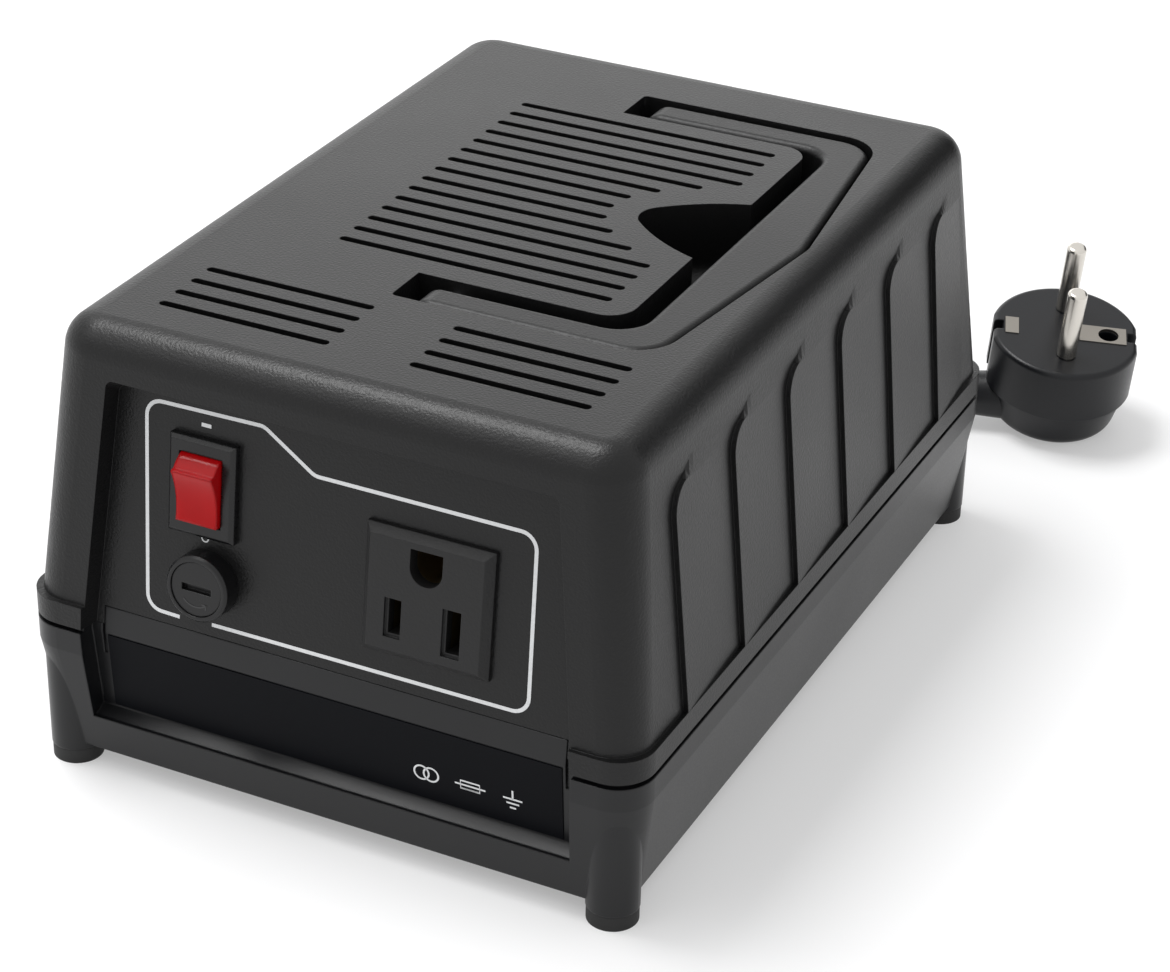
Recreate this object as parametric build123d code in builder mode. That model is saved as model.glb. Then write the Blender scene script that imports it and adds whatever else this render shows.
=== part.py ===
from build123d import *
from math import atan2, cos, degrees, pi, radians, sin, sqrt, tan
import os

# A travel voltage converter: a two-part moulded housing round a mains
# transformer, with a folding carry handle, a rocker switch, a fuse holder and
# an earthed outlet on its sunk front panel, and a mains lead with a plug.
# The origin lies under the housing's middle on the floor. The front faces -Y,
# the outlet side is +X and +Z is up.

os.makedirs("parts", exist_ok=True)

# Housing sizes
body_width = 138.0
body_depth = 191.0
body_height = 100.0
corner_radius = 8.0
wall = 2.8
reveal_bottom = 33.45
reveal_height = 1.1
band_top = 39.6
wall_inset = 1.1
top_inset_side = 6.9
top_inset_front = 6.7
top_corner_radius = 9.0
top_edge_radius = 7.4
overrun = 1.0
seat_gap = 0.2

# Lower housing sizes
foot_height = 3.3
foot_radius = 5.25
foot_peg_radius = 2.0
foot_peg_length = 4.0
leg_radius = 5.4
leg_inset = 1.8
floor_bottom = 4.8
strip_bottom = 28.4
lower_inset_side = 3.5
lower_inset_front = 2.8
lip_height = 3.0
lip_thickness = 1.6
lip_end_gap = 14.0
reveal_depth = 1.4

# Side wedges
wedge_count = 6
wedge_front_inset = 22.7
wedge_rear_inset = 33.3
wedge_last_run = 18.0
wedge_top = 86.8
wedge_corner_radius = 6.0

# Sunk front panel
panel_height_mark = 58.0
panel_inset = 7.34
panel_lean = 6.9
panel_top = 86.7
panel_top_half = 49.4
panel_bottom_half = 54.1
recess_top_half = 49.0
recess_bottom_half = 55.2
recess_draft = 2.65
recess_depth = 5.67
recess_corner_radius = 1.6
tongue_top = 38.4
tongue_half = 52.0
lower_face_lean = 4.4
lower_recess_bottom = 13.1
lower_recess_half = 54.4
sill_height = 1.3
label_half = 51.3
label_top = 32.3
label_bottom = 15.0
label_thickness = 0.25
slit_width = 0.6
slit_depth = 0.9
slit_bottom = 27.5

# Roof openings
slot_width = 2.0
slot_pitch = 5.81
slot_count = 15
slot_centre_y = 10.66
slot_left = -31.2
slot_right = 30.5
slot_end_shares = [0.369, 0.407, 0.544, 0.777]
front_slot_inner = 8.87
front_slot_outer = 47.03
front_slot_count = 4
front_slot_inset = 31.26
floor_slot_inset = 25.5
floor_slot_count = 3

# Carry handle and the channel it folds into
handle_centre_y = 10.3
handle_half = 57.8
handle_arm = 7.7
handle_thickness = 9.0
handle_drop = 0.5
handle_grip_inner = 40.1
handle_vertex_x = 54.6
handle_shoulder_x = 47.4
handle_outer_radius = 8.5
handle_inner_radius = 7.0
handle_edge_radius = 1.6
handle_gap = 1.0
handle_axis_x = -1.0
handle_end_reach = 4.5
handle_pin_radius = 2.0
handle_pin_seat = 2.5
pin_clearance = 0.05
channel_depth = 11.0
channel_end_x = -9.0
island_half = 47.3
island_edge_x = 36.4
island_corner_radius = 6.0
pocket_nose_x = 17.7
pocket_nose_radius = 6.0
pocket_flare_x = 36.5
pocket_flare_half = 15.0
pocket_flare_bulge = 1.2
pocket_end_x = 50.0
pocket_depth = 18.0
pocket_scoop_radius = 5.0
pocket_corner_radius = 6.0

# Housing screws
screw_inset_side = 11.5
screw_inset_end = 15.5
screw_boss_radius = 4.8
screw_boss_top = 58.0
screw_shank_radius = 1.6
screw_head_radius = 3.2
screw_head_height = 2.2
screw_seat_height = 14.0
screw_length = 38.0

# Outlet
outlet_x = 21.2
outlet_up = 1.5
outlet_width = 27.7
outlet_height = 26.8
outlet_proud = 2.5
outlet_bevel = 1.6
outlet_body_width = 24.0
outlet_body_height = 24.8
outlet_body_depth = 20.0
blade_spacing = 12.7
blade_up = -4.6
left_slot_width = 3.0
left_slot_height = 7.6
right_slot_width = 3.3
right_slot_height = 9.3
slot_lead_in = 0.7
slot_throat = 3.0
earth_up = 6.8
earth_width = 7.0
earth_flat = 3.75
contact_thickness = 0.8
contact_depth = 12.0
tab_length = 7.0
tab_width = 4.8

# Switch
switch_x = -29.2
switch_up = 12.2
switch_width = 15.0
switch_height = 20.6
switch_proud = 2.2
switch_edge = 0.8
switch_body_width = 13.0
switch_body_height = 19.0
switch_body_depth = 20.0
rocker_width = 9.2
rocker_side_gap = 0.3
rocker_axis_depth = 2.0
rocker_radius = 8.1
rocker_end_gap = 0.28
rocker_tip_radius = 8.8
rocker_travel = 24.0
rocker_end_angle = 55.5
rocker_tip_angle = 62.0
rocker_under = 3.2
rocker_dish = 1.0
rocker_pin_radius = 1.2
rocker_pin_reach = 1.0
lamp_radius = 1.6
lamp_length = 7.5
lamp_room_depth = 15.0
switch_tab_count = 3
switch_tab_pitch = 6.2

# Fuse holder
fuse_x = -28.1
fuse_up = -8.0
fuse_collar_radius = 7.0
fuse_proud = 4.6
fuse_collar_edge = 0.5
fuse_barrel_radius = 5.8
fuse_barrel_depth = 36.0
fuse_cap_radius = 5.7
fuse_cap_thickness = 3.2
fuse_cap_drop = 0.25
fuse_ring_gap = 0.12
fuse_slot_length = 6.7
fuse_slot_width = 1.5
fuse_slot_depth = 1.2
fuse_carrier_radius = 3.9
fuse_carrier_bore = 2.7
fuse_carrier_length = 20.0
fuse_carrier_flange = 1.0
fuse_spigot_radius = 2.0
fuse_spigot_length = 2.0
fuse_glass_radius = 2.4
fuse_length = 20.0
fuse_end_length = 5.0
fuse_end_radius = 2.6
fuse_nut_width = 15.0
fuse_nut_height = 3.0
fuse_tab_length = 8.0
fuse_tab_width = 4.0

# Transformer
core_y = 20.0
core_bottom = 23.0
core_stack = 40.0
core_limb = 32.0
core_window = 16.0
core_window_length = 48.0
core_yoke = 16.0
core_hole_inset = 8.0
core_hole_radius = 2.2
post_radius = 5.2
bobbin_wall = 1.5
bobbin_gap = 0.3
winding_height = 11.0
winding_corner_radius = 4.0
strap_width = 12.0
strap_thickness = 1.5
bolt_radius = 2.0
bolt_head_radius = 3.6
bolt_head_height = 2.8
bolt_grip = 10.0
cutout_length = 18.0
cutout_width = 8.0
cutout_height = 3.6
cutout_x = -12.0

# Mains lead
cord_diameter = 6.8
cord_rest_gap = 0.05
cord_bend_share = 0.45
exit_x = 12.0
exit_z = 15.0
relief_seat_inset = 0.3
relief_boss_radius = 8.5
relief_boss_inset = 6.1
relief_hole_radius = 5.0
relief_flange_radius = 7.0
relief_flange = 1.8
relief_root_radius = 5.9
relief_tip_radius = 4.5
relief_length = 14.0
relief_collar_radius = 6.2
relief_collar = 1.6
relief_grip = 3.0
coil_centre_gap = 54.5
coil_inner_radius = 28.9
coil_turn_step = 8.8
coil_layer_step = 7.6
coil_turns_per_layer = 2
coil_sample_step = 2.0

# Plug, lying on its back with its pins up
plug_x = 72.24
plug_gap = 49.45
plug_z = 26.6
plug_turn = 20.2
plug_lean_side = 7.1
plug_lean_front = 9.0
plug_radius = 18.3
plug_flat = 17.65
plug_rim_depth = 14.0
plug_back_radius = 15.0
plug_back_depth = 24.6
plug_groove_depth = 1.0
plug_notch_half = 3.6
plug_notch_depth = 2.4
plug_edge_radius = 1.2
pin_radius = 2.4
pin_length = 19.0
pin_spacing = 19.0
pin_root = 7.0
pin_neck_radius = 2.0
pin_neck = 0.3
earth_socket_radius = 2.5
earth_socket_place = 10.5
clip_width = 6.4
clip_thickness = 0.6
plate_inner = 3.4
plate_outer = 14.9
clip_inner = 11.6
plug_back_edge = 3.5
pin_tip_radius = 1.0
clip_depth = 9.0
boot_radius = 6.2
boot_tip_radius = 4.6
boot_length = 22.0
boot_height = 8.0
boot_root_place = 12.0
tail_run = 14.0

# Places worked out from the sizes above
half_width = body_width / 2
half_depth = body_depth / 2
upper_bottom = reveal_bottom + reveal_height
roof_inside = body_height - wall
lean_run = top_inset_side - wall_inset
wedge_first_y = wedge_front_inset - half_depth
wedge_pitch = (half_depth - wedge_rear_inset - wedge_first_y) / (wedge_count - 1)
front_slot_centre_y = front_slot_inset - half_depth
floor_slot_centre_y = half_depth - floor_slot_inset
screw_x = half_width - screw_inset_side
screw_y = half_depth - screw_inset_end
relief_seat_y = half_depth - relief_seat_inset
relief_boss_inner = half_depth - relief_boss_inset
coil_centre_y = half_depth + coil_centre_gap
plug_y = half_depth + plug_gap
panel_slope = tan(radians(panel_lean))
lower_slope = tan(radians(lower_face_lean))
fold_height = label_top + overrun / 2
handle_top = body_height - handle_drop
handle_bottom = handle_top - handle_thickness
handle_axis_z = handle_bottom + handle_thickness / 2
channel_floor = body_height - channel_depth
handle_pin_middle = (handle_half + handle_gap + island_half) / 2
handle_pin_length = handle_half + handle_gap - island_half + 2 * handle_pin_seat
pin_places = [
    Location((handle_axis_x, handle_centre_y + side * handle_pin_middle, handle_axis_z), (90, 0, 0))
    for side in (-1, 1)
]


def panel_y(height):
    """Where the sunk panel's face lies at a height."""
    return panel_inset - half_depth + (height - panel_height_mark) * panel_slope


def lower_face_y(height):
    """Where the lower housing's sunk face lies at a height."""
    return panel_y(fold_height) + (fold_height - height) * lower_slope


def panel_up(height):
    """A height as a distance up the panel from its mark."""
    return (height - panel_height_mark) / cos(radians(panel_lean))


panel_plane = Plane(
    origin=(0, panel_y(panel_height_mark), panel_height_mark),
    x_dir=(1, 0, 0),
    z_dir=(0, -1, panel_slope),
)
panel_axis = Axis((0, 0, 0), panel_plane.z_dir)


# Plan outlines that several pieces share
def grip_outline(end_x, margin):
    """The handle's outer outline, grown by a margin, with its arms' ends at end_x."""
    with BuildSketch() as outline:
        with BuildLine():
            Polyline(
                (end_x, -handle_half),
                (handle_shoulder_x, -handle_half),
                (handle_vertex_x, 0),
                (handle_shoulder_x, handle_half),
                (end_x, handle_half),
                close=True,
            )
        make_face()
        corners = outline.vertices().group_by(Axis.X)
        fillet(corners[1], handle_outer_radius)
        fillet(outline.vertices().sort_by(Axis.X)[-1:], handle_outer_radius)
        if margin > 0:
            offset(amount=margin)
    return outline.sketch


def island_outline(inset):
    """The raised island inside the channel, drawn in by an inset."""
    half = island_half - inset
    with BuildSketch() as outline:
        with BuildLine():
            Polyline(
                (channel_end_x - handle_half, -half),
                (island_edge_x - inset, -half),
                (island_edge_x - inset, half),
                (channel_end_x - handle_half, half),
                close=True,
            )
        make_face()
        fillet(outline.vertices().group_by(Axis.X)[-1], island_corner_radius)
    return outline.sketch


def pocket_outline(margin):
    """The finger pocket: a round nose that flares out under the grip."""
    nose_x = pocket_nose_x + pocket_nose_radius
    turn = atan2(pocket_flare_half, pocket_flare_x - nose_x) + pi / 2
    touch = (nose_x + pocket_nose_radius * cos(turn), pocket_nose_radius * sin(turn))
    run = (pocket_flare_x - touch[0], pocket_flare_half - touch[1])
    length = sqrt(run[0] ** 2 + run[1] ** 2)
    bulge = (
        (touch[0] + pocket_flare_x) / 2 - pocket_flare_bulge * run[1] / length,
        (touch[1] + pocket_flare_half) / 2 + pocket_flare_bulge * run[0] / length,
    )
    with BuildSketch() as outline:
        with BuildLine():
            ThreePointArc((touch[0], -touch[1]), (pocket_nose_x, 0), touch)
            ThreePointArc(touch, bulge, (pocket_flare_x, pocket_flare_half))
            Line((pocket_flare_x, pocket_flare_half), (pocket_end_x, pocket_flare_half))
            Line((pocket_end_x, pocket_flare_half), (pocket_end_x, -pocket_flare_half))
            Line((pocket_end_x, -pocket_flare_half), (pocket_flare_x, -pocket_flare_half))
            ThreePointArc(
                (pocket_flare_x, -pocket_flare_half), (bulge[0], -bulge[1]), (touch[0], -touch[1])
            )
        make_face()
        fillet(outline.vertices().group_by(Axis.X)[-1], pocket_corner_radius)
        if margin > 0:
            offset(amount=margin)
    return outline.sketch


recess_face = grip_outline(channel_end_x + handle_gap, handle_gap)
recess_wall_face = grip_outline(channel_end_x + handle_gap, handle_gap + wall)
island_face = island_outline(0)
island_room_face = island_outline(wall)
pocket_face = pocket_outline(0)
pocket_wall_face = pocket_outline(wall)
handle_face = grip_outline(handle_axis_x - handle_end_reach, 0)


# One wedge on each side wall, flush with the band at its front step
def wedge_pair(run):
    """The first wedge on each side wall; its face fades into the wall over a run."""
    fade = Vector(-wall_inset, run, 0)
    wall_lean = Vector(-lean_run, 0, body_height - band_top)
    with BuildPart() as wedges:
        with BuildSketch(Plane.YZ.offset(half_width - top_inset_side)) as outline:
            with BuildLine():
                Polyline(
                    (wedge_first_y, band_top),
                    (wedge_first_y + run, band_top),
                    (wedge_first_y + run, wedge_top),
                    (wedge_first_y, wedge_top),
                    close=True,
                )
            make_face()
            fillet(outline.vertices().group_by(Axis.Y)[-1].sort_by(Axis.X)[0], wedge_corner_radius)
        extrude(amount=top_inset_side)
        split(
            bisect_by=Plane(
                origin=(half_width, wedge_first_y, band_top), z_dir=fade.cross(wall_lean)
            ),
            keep=Keep.BOTTOM,
        )
        mirror(about=Plane.YZ)
    return wedges.part


middle_wedges = wedge_pair(wedge_pitch)
last_wedges = wedge_pair(wedge_last_run)

# The sunk panel's room in the front wall
panel_bottom_up = panel_up(reveal_bottom)
panel_top_up = panel_up(panel_top)
with BuildPart() as front_recess:
    for layer in range(2):
        reach = 2 * layer
        top_half = panel_top_half + reach * (recess_top_half - panel_top_half)
        bottom_half = panel_bottom_half + reach * (recess_bottom_half - panel_bottom_half)
        with BuildSketch(panel_plane.offset(reach * recess_depth)) as opening:
            with BuildLine():
                Polyline(
                    (-bottom_half, panel_bottom_up),
                    (bottom_half, panel_bottom_up),
                    (top_half, panel_top_up + reach * recess_draft),
                    (-top_half, panel_top_up + reach * recess_draft),
                    close=True,
                )
            make_face()
            fillet(opening.vertices().group_by(Axis.Y)[-1], recess_corner_radius)
    loft(ruled=True)

# What keeps its wall behind the front panel and round the roof's channel
with BuildPart() as upper_room:
    with BuildSketch(Plane.XY.offset(upper_bottom - overrun)):
        RectangleRounded(body_width - 2 * wall, body_depth - 2 * wall, corner_radius - wall)
    extrude(amount=band_top - upper_bottom + overrun)
    with BuildSketch(Plane.XY.offset(band_top)):
        RectangleRounded(
            body_width - 2 * (wall_inset + wall),
            body_depth - 2 * (wall_inset + wall),
            corner_radius - wall,
        )
    with BuildSketch(Plane.XY.offset(roof_inside)):
        RectangleRounded(
            body_width - 2 * (top_inset_side + wall),
            body_depth - 2 * (top_inset_front + wall),
            top_corner_radius - wall,
        )
    loft(ruled=True)
    fillet(upper_room.faces().sort_by(Axis.Z)[-1].edges(), top_edge_radius - wall)
    with BuildSketch(Plane.YZ):
        with BuildLine():
            Polyline(
                (-body_depth, foot_height),
                (panel_y(foot_height) + wall, foot_height),
                (panel_y(panel_top + wall) + wall, panel_top + wall),
                (-half_depth, panel_top + wall + 2 * recess_draft),
                (-body_depth, panel_top + wall + 2 * recess_draft),
                close=True,
            )
        make_face()
    extrude(amount=recess_bottom_half + wall, both=True, mode=Mode.SUBTRACT)
    with BuildSketch(Plane.XY.offset(channel_floor - wall)):
        with Locations((0, handle_centre_y)):
            add(recess_wall_face)
            add(island_room_face, mode=Mode.SUBTRACT)
    extrude(amount=channel_depth + wall, mode=Mode.SUBTRACT)
    with BuildSketch(Plane.XY.offset(body_height - pocket_depth - wall)):
        with Locations((0, handle_centre_y)):
            add(pocket_wall_face)
    extrude(amount=pocket_depth + wall, mode=Mode.SUBTRACT)
    with BuildSketch(Plane.XY.offset(upper_bottom)):
        with GridLocations(2 * screw_x, 2 * screw_y, 2, 2):
            Circle(screw_boss_radius)
    extrude(amount=body_height - upper_bottom, mode=Mode.SUBTRACT)

# The finger pocket, scooped round at its floor
with BuildPart() as finger_pocket:
    with BuildSketch(Plane.XY.offset(body_height - pocket_depth)):
        with Locations((0, handle_centre_y)):
            add(pocket_face)
    extrude(amount=pocket_depth + overrun)
    fillet(finger_pocket.faces().sort_by(Axis.Z)[0].edges(), pocket_scoop_radius)

with BuildPart() as upper_housing:
    with BuildSketch(Plane.XY.offset(upper_bottom)):
        RectangleRounded(body_width, body_depth, corner_radius)
    extrude(amount=band_top - upper_bottom)
    with BuildSketch(Plane.XY.offset(band_top)):
        RectangleRounded(
            body_width - 2 * wall_inset, body_depth - 2 * wall_inset, corner_radius
        )
    with BuildSketch(Plane.XY.offset(body_height)):
        RectangleRounded(
            body_width - 2 * top_inset_side, body_depth - 2 * top_inset_front, top_corner_radius
        )
    loft(ruled=True)
    fillet(upper_housing.faces().sort_by(Axis.Z)[-1].edges(), top_edge_radius)
    with Locations(*[(0, wedge_pitch * place, 0) for place in range(wedge_count - 1)]):
        add(middle_wedges)
    with Locations((0, wedge_pitch * (wedge_count - 1), 0)):
        add(last_wedges)
    add(upper_room.part, mode=Mode.SUBTRACT)
    add(front_recess.part, mode=Mode.SUBTRACT)
    # The lower housing's tongue closes the panel's foot
    with BuildSketch(Plane.XZ.offset(half_depth - panel_inset - 2 * wall)):
        with Locations((0, (tongue_top + seat_gap + reveal_bottom) / 2)):
            Rectangle(2 * (tongue_half + seat_gap), tongue_top + seat_gap - reveal_bottom)
    extrude(amount=panel_inset + 2 * wall + overrun, mode=Mode.SUBTRACT)
    # The channel that the handle folds into
    with BuildSketch(Plane.XY.offset(channel_floor)):
        with Locations((0, handle_centre_y)):
            add(recess_face)
            add(island_face, mode=Mode.SUBTRACT)
    extrude(amount=channel_depth + overrun, mode=Mode.SUBTRACT)
    add(finger_pocket.part, mode=Mode.SUBTRACT)
    # The roof's air slots: long rows that shorten round the pocket's nose
    with BuildSketch(Plane.XY.offset(body_height + overrun)):
        for row in range(slot_count):
            step = abs(row - slot_count // 2)
            share = (slot_end_shares + [1] * slot_count)[step]
            with Locations(
                (
                    (slot_left + slot_right * share) / 2,
                    slot_centre_y + (row - slot_count // 2) * slot_pitch,
                )
            ):
                SlotOverall(slot_right * share - slot_left, slot_width)
        with Locations((0, front_slot_centre_y)):
            with GridLocations(
                front_slot_inner + front_slot_outer, slot_pitch, 2, front_slot_count
            ):
                SlotOverall(front_slot_outer - front_slot_inner, slot_width)
    extrude(amount=-wall - 2 * overrun, mode=Mode.SUBTRACT)
    # Openings for the switch, the fuse holder and the outlet
    with BuildSketch(panel_plane.offset(overrun)):
        with Locations((switch_x, switch_up)):
            Rectangle(switch_body_width + 2 * seat_gap, switch_body_height + 2 * seat_gap)
        with Locations((outlet_x, outlet_up)):
            Rectangle(outlet_body_width + 2 * seat_gap, outlet_body_height + 2 * seat_gap)
        with Locations((fuse_x, fuse_up)):
            Circle(fuse_barrel_radius + pin_clearance)
    extrude(amount=-wall - 2 * overrun, mode=Mode.SUBTRACT)
    # Holes for the handle's pins and the housing screws
    with Locations(*pin_places):
        Cylinder(handle_pin_radius, handle_pin_length, mode=Mode.SUBTRACT)
    with BuildSketch(Plane.XY.offset(upper_bottom - overrun)):
        with GridLocations(2 * screw_x, 2 * screw_y, 2, 2):
            Circle(screw_shank_radius + pin_clearance)
    extrude(amount=screw_boss_top - upper_bottom + overrun, mode=Mode.SUBTRACT)
upper_housing.part.label = "upper_housing"

# Carry handle: a bowed grip between two arms that turn on the pins
with BuildPart() as carry_handle:
    with BuildSketch(Plane.XY.offset(handle_bottom)):
        with Locations((0, handle_centre_y)):
            add(handle_face)
            with BuildSketch(mode=Mode.PRIVATE) as handle_gap_shape:
                with Locations((handle_grip_inner - handle_half, 0)):
                    Rectangle(2 * handle_half, 2 * (handle_half - handle_arm))
                fillet(handle_gap_shape.vertices().group_by(Axis.X)[-1], handle_inner_radius)
            add(handle_gap_shape.sketch, mode=Mode.SUBTRACT)
    extrude(amount=handle_thickness)
    fillet(carry_handle.faces().sort_by(Axis.X)[:2].edges().filter_by(Axis.Y), handle_end_reach - overrun / 2)
    fillet(carry_handle.faces().sort_by(Axis.Z)[-1].edges(), handle_edge_radius)
    with Locations(*pin_places):
        Cylinder(handle_pin_radius + pin_clearance, handle_pin_length, mode=Mode.SUBTRACT)
carry_handle.part.label = "carry_handle"

with BuildPart() as handle_pins:
    with Locations(*pin_places):
        Cylinder(handle_pin_radius, handle_pin_length)
handle_pins.part.label = "handle_pins"

# Lower housing: a tray on four legs, with a tongue that closes the front panel
leg_x = half_width - leg_inset - leg_radius
leg_y = half_depth - leg_inset + overrun - leg_radius
core_width = core_limb + 2 * (core_window + core_yoke)
core_length = core_window_length + 2 * core_yoke
core_hole_x = core_width / 2 - core_hole_inset
core_hole_y = core_length / 2 - core_hole_inset
floor_top = floor_bottom + wall

with BuildPart() as lower_room:
    with BuildSketch(Plane.XY.offset(floor_top)):
        RectangleRounded(
            body_width - 2 * (lower_inset_side + wall),
            body_depth - 2 * (lower_inset_front + wall),
            corner_radius - wall,
        )
    with BuildSketch(Plane.XY.offset(strip_bottom)):
        RectangleRounded(body_width - 2 * wall, body_depth - 2 * wall, corner_radius - wall)
    loft(ruled=True)
    with BuildSketch(Plane.XY.offset(strip_bottom)):
        RectangleRounded(body_width - 2 * wall, body_depth - 2 * wall, corner_radius - wall)
    extrude(amount=upper_bottom - strip_bottom + overrun)
    with BuildSketch(Plane.YZ):
        with BuildLine():
            Polyline(
                (-body_depth, foot_height),
                (lower_face_y(foot_height) + wall, foot_height),
                (lower_face_y(fold_height) + wall, fold_height),
                (panel_y(tongue_top) + wall, tongue_top),
                (-body_depth, tongue_top),
                close=True,
            )
        make_face()
    extrude(amount=recess_bottom_half + wall, both=True, mode=Mode.SUBTRACT)
    with BuildSketch(Plane.XY.offset(floor_bottom)):
        with GridLocations(2 * leg_x, 2 * leg_y, 2, 2):
            Circle(leg_radius)
        with GridLocations(2 * screw_x, 2 * screw_y, 2, 2):
            Circle(screw_boss_radius)
    extrude(amount=upper_bottom - floor_bottom + 2 * overrun, mode=Mode.SUBTRACT)
    with BuildSketch(Plane.XY.offset(floor_bottom)):
        with Locations((0, core_y)):
            with GridLocations(2 * core_hole_x, 2 * core_hole_y, 2, 2):
                Circle(post_radius)
    extrude(amount=core_bottom - floor_bottom, mode=Mode.SUBTRACT)
    with BuildSketch(Plane.XZ.offset(-relief_boss_inner)):
        with Locations((exit_x, exit_z)):
            Circle(relief_boss_radius)
    extrude(amount=-body_depth, mode=Mode.SUBTRACT)

with BuildPart() as lower_recess:
    with BuildSketch(Plane.XZ.offset(half_depth - panel_inset)):
        with BuildLine():
            Polyline(
                (-lower_recess_half, lower_recess_bottom),
                (lower_recess_half, lower_recess_bottom),
                (recess_bottom_half, upper_bottom + overrun),
                (-recess_bottom_half, upper_bottom + overrun),
                close=True,
            )
        make_face()
    extrude(amount=panel_inset + overrun)
    with BuildSketch(Plane.YZ):
        with BuildLine():
            Polyline(
                (-body_depth, lower_recess_bottom),
                (-half_depth + lower_inset_front, lower_recess_bottom),
                (lower_face_y(lower_recess_bottom + sill_height), lower_recess_bottom + sill_height),
                (lower_face_y(fold_height), fold_height),
                (panel_y(tongue_top), tongue_top),
                (-body_depth, tongue_top),
                close=True,
            )
        make_face()
    extrude(amount=body_width, both=True, mode=Mode.INTERSECT)

with BuildPart() as lower_housing:
    with BuildSketch(Plane.XY.offset(foot_height)):
        with GridLocations(2 * leg_x, 2 * leg_y, 2, 2):
            Circle(leg_radius)
    extrude(amount=strip_bottom - foot_height)
    with BuildSketch(Plane.XY.offset(floor_bottom)):
        RectangleRounded(
            body_width - 2 * lower_inset_side, body_depth - 2 * lower_inset_front, corner_radius
        )
    with BuildSketch(Plane.XY.offset(strip_bottom)):
        RectangleRounded(body_width, body_depth, corner_radius)
    loft(ruled=True)
    with BuildSketch(Plane.XY.offset(strip_bottom)):
        RectangleRounded(body_width, body_depth, corner_radius)
    extrude(amount=reveal_bottom - strip_bottom)
    with BuildSketch(Plane.XY.offset(reveal_bottom)):
        RectangleRounded(
            body_width - 2 * reveal_depth, body_depth - 2 * reveal_depth, corner_radius - reveal_depth
        )
    extrude(amount=reveal_height)
    with BuildSketch(Plane.XZ.offset(-half_depth + wall)):
        with Locations((exit_x, exit_z)):
            Circle(relief_boss_radius)
    extrude(amount=-(relief_seat_y - half_depth + wall))
    add(lower_recess.part, mode=Mode.SUBTRACT)
    add(lower_room.part, mode=Mode.SUBTRACT)
    # The tongue, up to the panel's foot
    with BuildSketch(Plane.YZ):
        with BuildLine():
            Polyline(
                (lower_face_y(fold_height), fold_height),
                (panel_y(tongue_top), tongue_top),
                (panel_y(tongue_top) + wall, tongue_top),
                (lower_face_y(fold_height) + wall, fold_height - overrun),
                close=True,
            )
        make_face()
    extrude(amount=tongue_half, both=True)
    # Slits that part the tongue from the side walls
    with BuildSketch(Plane.XZ.offset(-lower_face_y(fold_height) - slit_depth)):
        with Locations((0, (slit_bottom + tongue_top) / 2)):
            with GridLocations(2 * tongue_half + slit_width, 0, 2, 1):
                Rectangle(slit_width, tongue_top - slit_bottom)
    extrude(amount=slit_depth + overrun, mode=Mode.SUBTRACT)
    # Ribs that centre the upper housing
    rib_inset = wall + seat_gap + lip_thickness / 2
    rib_length = body_depth - 2 * (corner_radius + lip_end_gap)
    for side in (-1, 1):
        with BuildSketch(Plane.XY.offset(strip_bottom)):
            with Locations((side * (half_width - rib_inset + seat_gap), 0)):
                Rectangle(lip_thickness + 2 * seat_gap, rib_length)
        extrude(amount=upper_bottom - strip_bottom)
        with BuildSketch(Plane.XY.offset(upper_bottom)):
            with Locations((side * (half_width - rib_inset), 0)):
                Rectangle(lip_thickness, rib_length)
        extrude(amount=lip_height)
    # Holes for the screws, the feet's pegs, the core's bolts and the lead
    with BuildSketch(Plane.XY.offset(floor_bottom)):
        with GridLocations(2 * screw_x, 2 * screw_y, 2, 2):
            Circle(screw_head_radius + seat_gap)
    extrude(amount=screw_seat_height - floor_bottom, mode=Mode.SUBTRACT)
    with BuildSketch(Plane.XY.offset(screw_seat_height)):
        with GridLocations(2 * screw_x, 2 * screw_y, 2, 2):
            Circle(screw_shank_radius + seat_gap)
    extrude(amount=upper_bottom - screw_seat_height + overrun, mode=Mode.SUBTRACT)
    with BuildSketch(Plane.XY.offset(foot_height)):
        with GridLocations(2 * leg_x, 2 * leg_y, 2, 2):
            Circle(foot_peg_radius)
    extrude(amount=foot_peg_length, mode=Mode.SUBTRACT)
    # Air slots in the floor, in front of the core and behind it
    with BuildSketch(Plane.XY.offset(floor_bottom - overrun)):
        for side in (-1, 1):
            with Locations((0, side * floor_slot_centre_y)):
                with GridLocations(
                    front_slot_inner + front_slot_outer, slot_pitch, 2, floor_slot_count
                ):
                    SlotOverall(front_slot_outer - front_slot_inner, slot_width)
    extrude(amount=wall + 2 * overrun, mode=Mode.SUBTRACT)
    with BuildSketch(Plane.XY.offset(core_bottom)):
        with Locations((0, core_y)):
            with GridLocations(2 * core_hole_x, 2 * core_hole_y, 2, 2):
                Circle(bolt_radius + pin_clearance)
    extrude(amount=-bolt_grip, mode=Mode.SUBTRACT)
    with BuildSketch(Plane.XZ.offset(-relief_seat_y - overrun)):
        with Locations((exit_x, exit_z)):
            Circle(relief_hole_radius)
    extrude(amount=relief_seat_y - relief_boss_inner + 2 * overrun, mode=Mode.SUBTRACT)
lower_housing.part.label = "lower_housing"

with BuildPart() as rubber_feet:
    with BuildSketch(Plane.XY):
        with GridLocations(2 * leg_x, 2 * leg_y, 2, 2):
            Circle(foot_radius)
    extrude(amount=foot_height)
    with BuildSketch(Plane.XY.offset(foot_height)):
        with GridLocations(2 * leg_x, 2 * leg_y, 2, 2):
            Circle(foot_peg_radius)
    extrude(amount=foot_peg_length)
rubber_feet.part.label = "rubber_feet"

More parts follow.
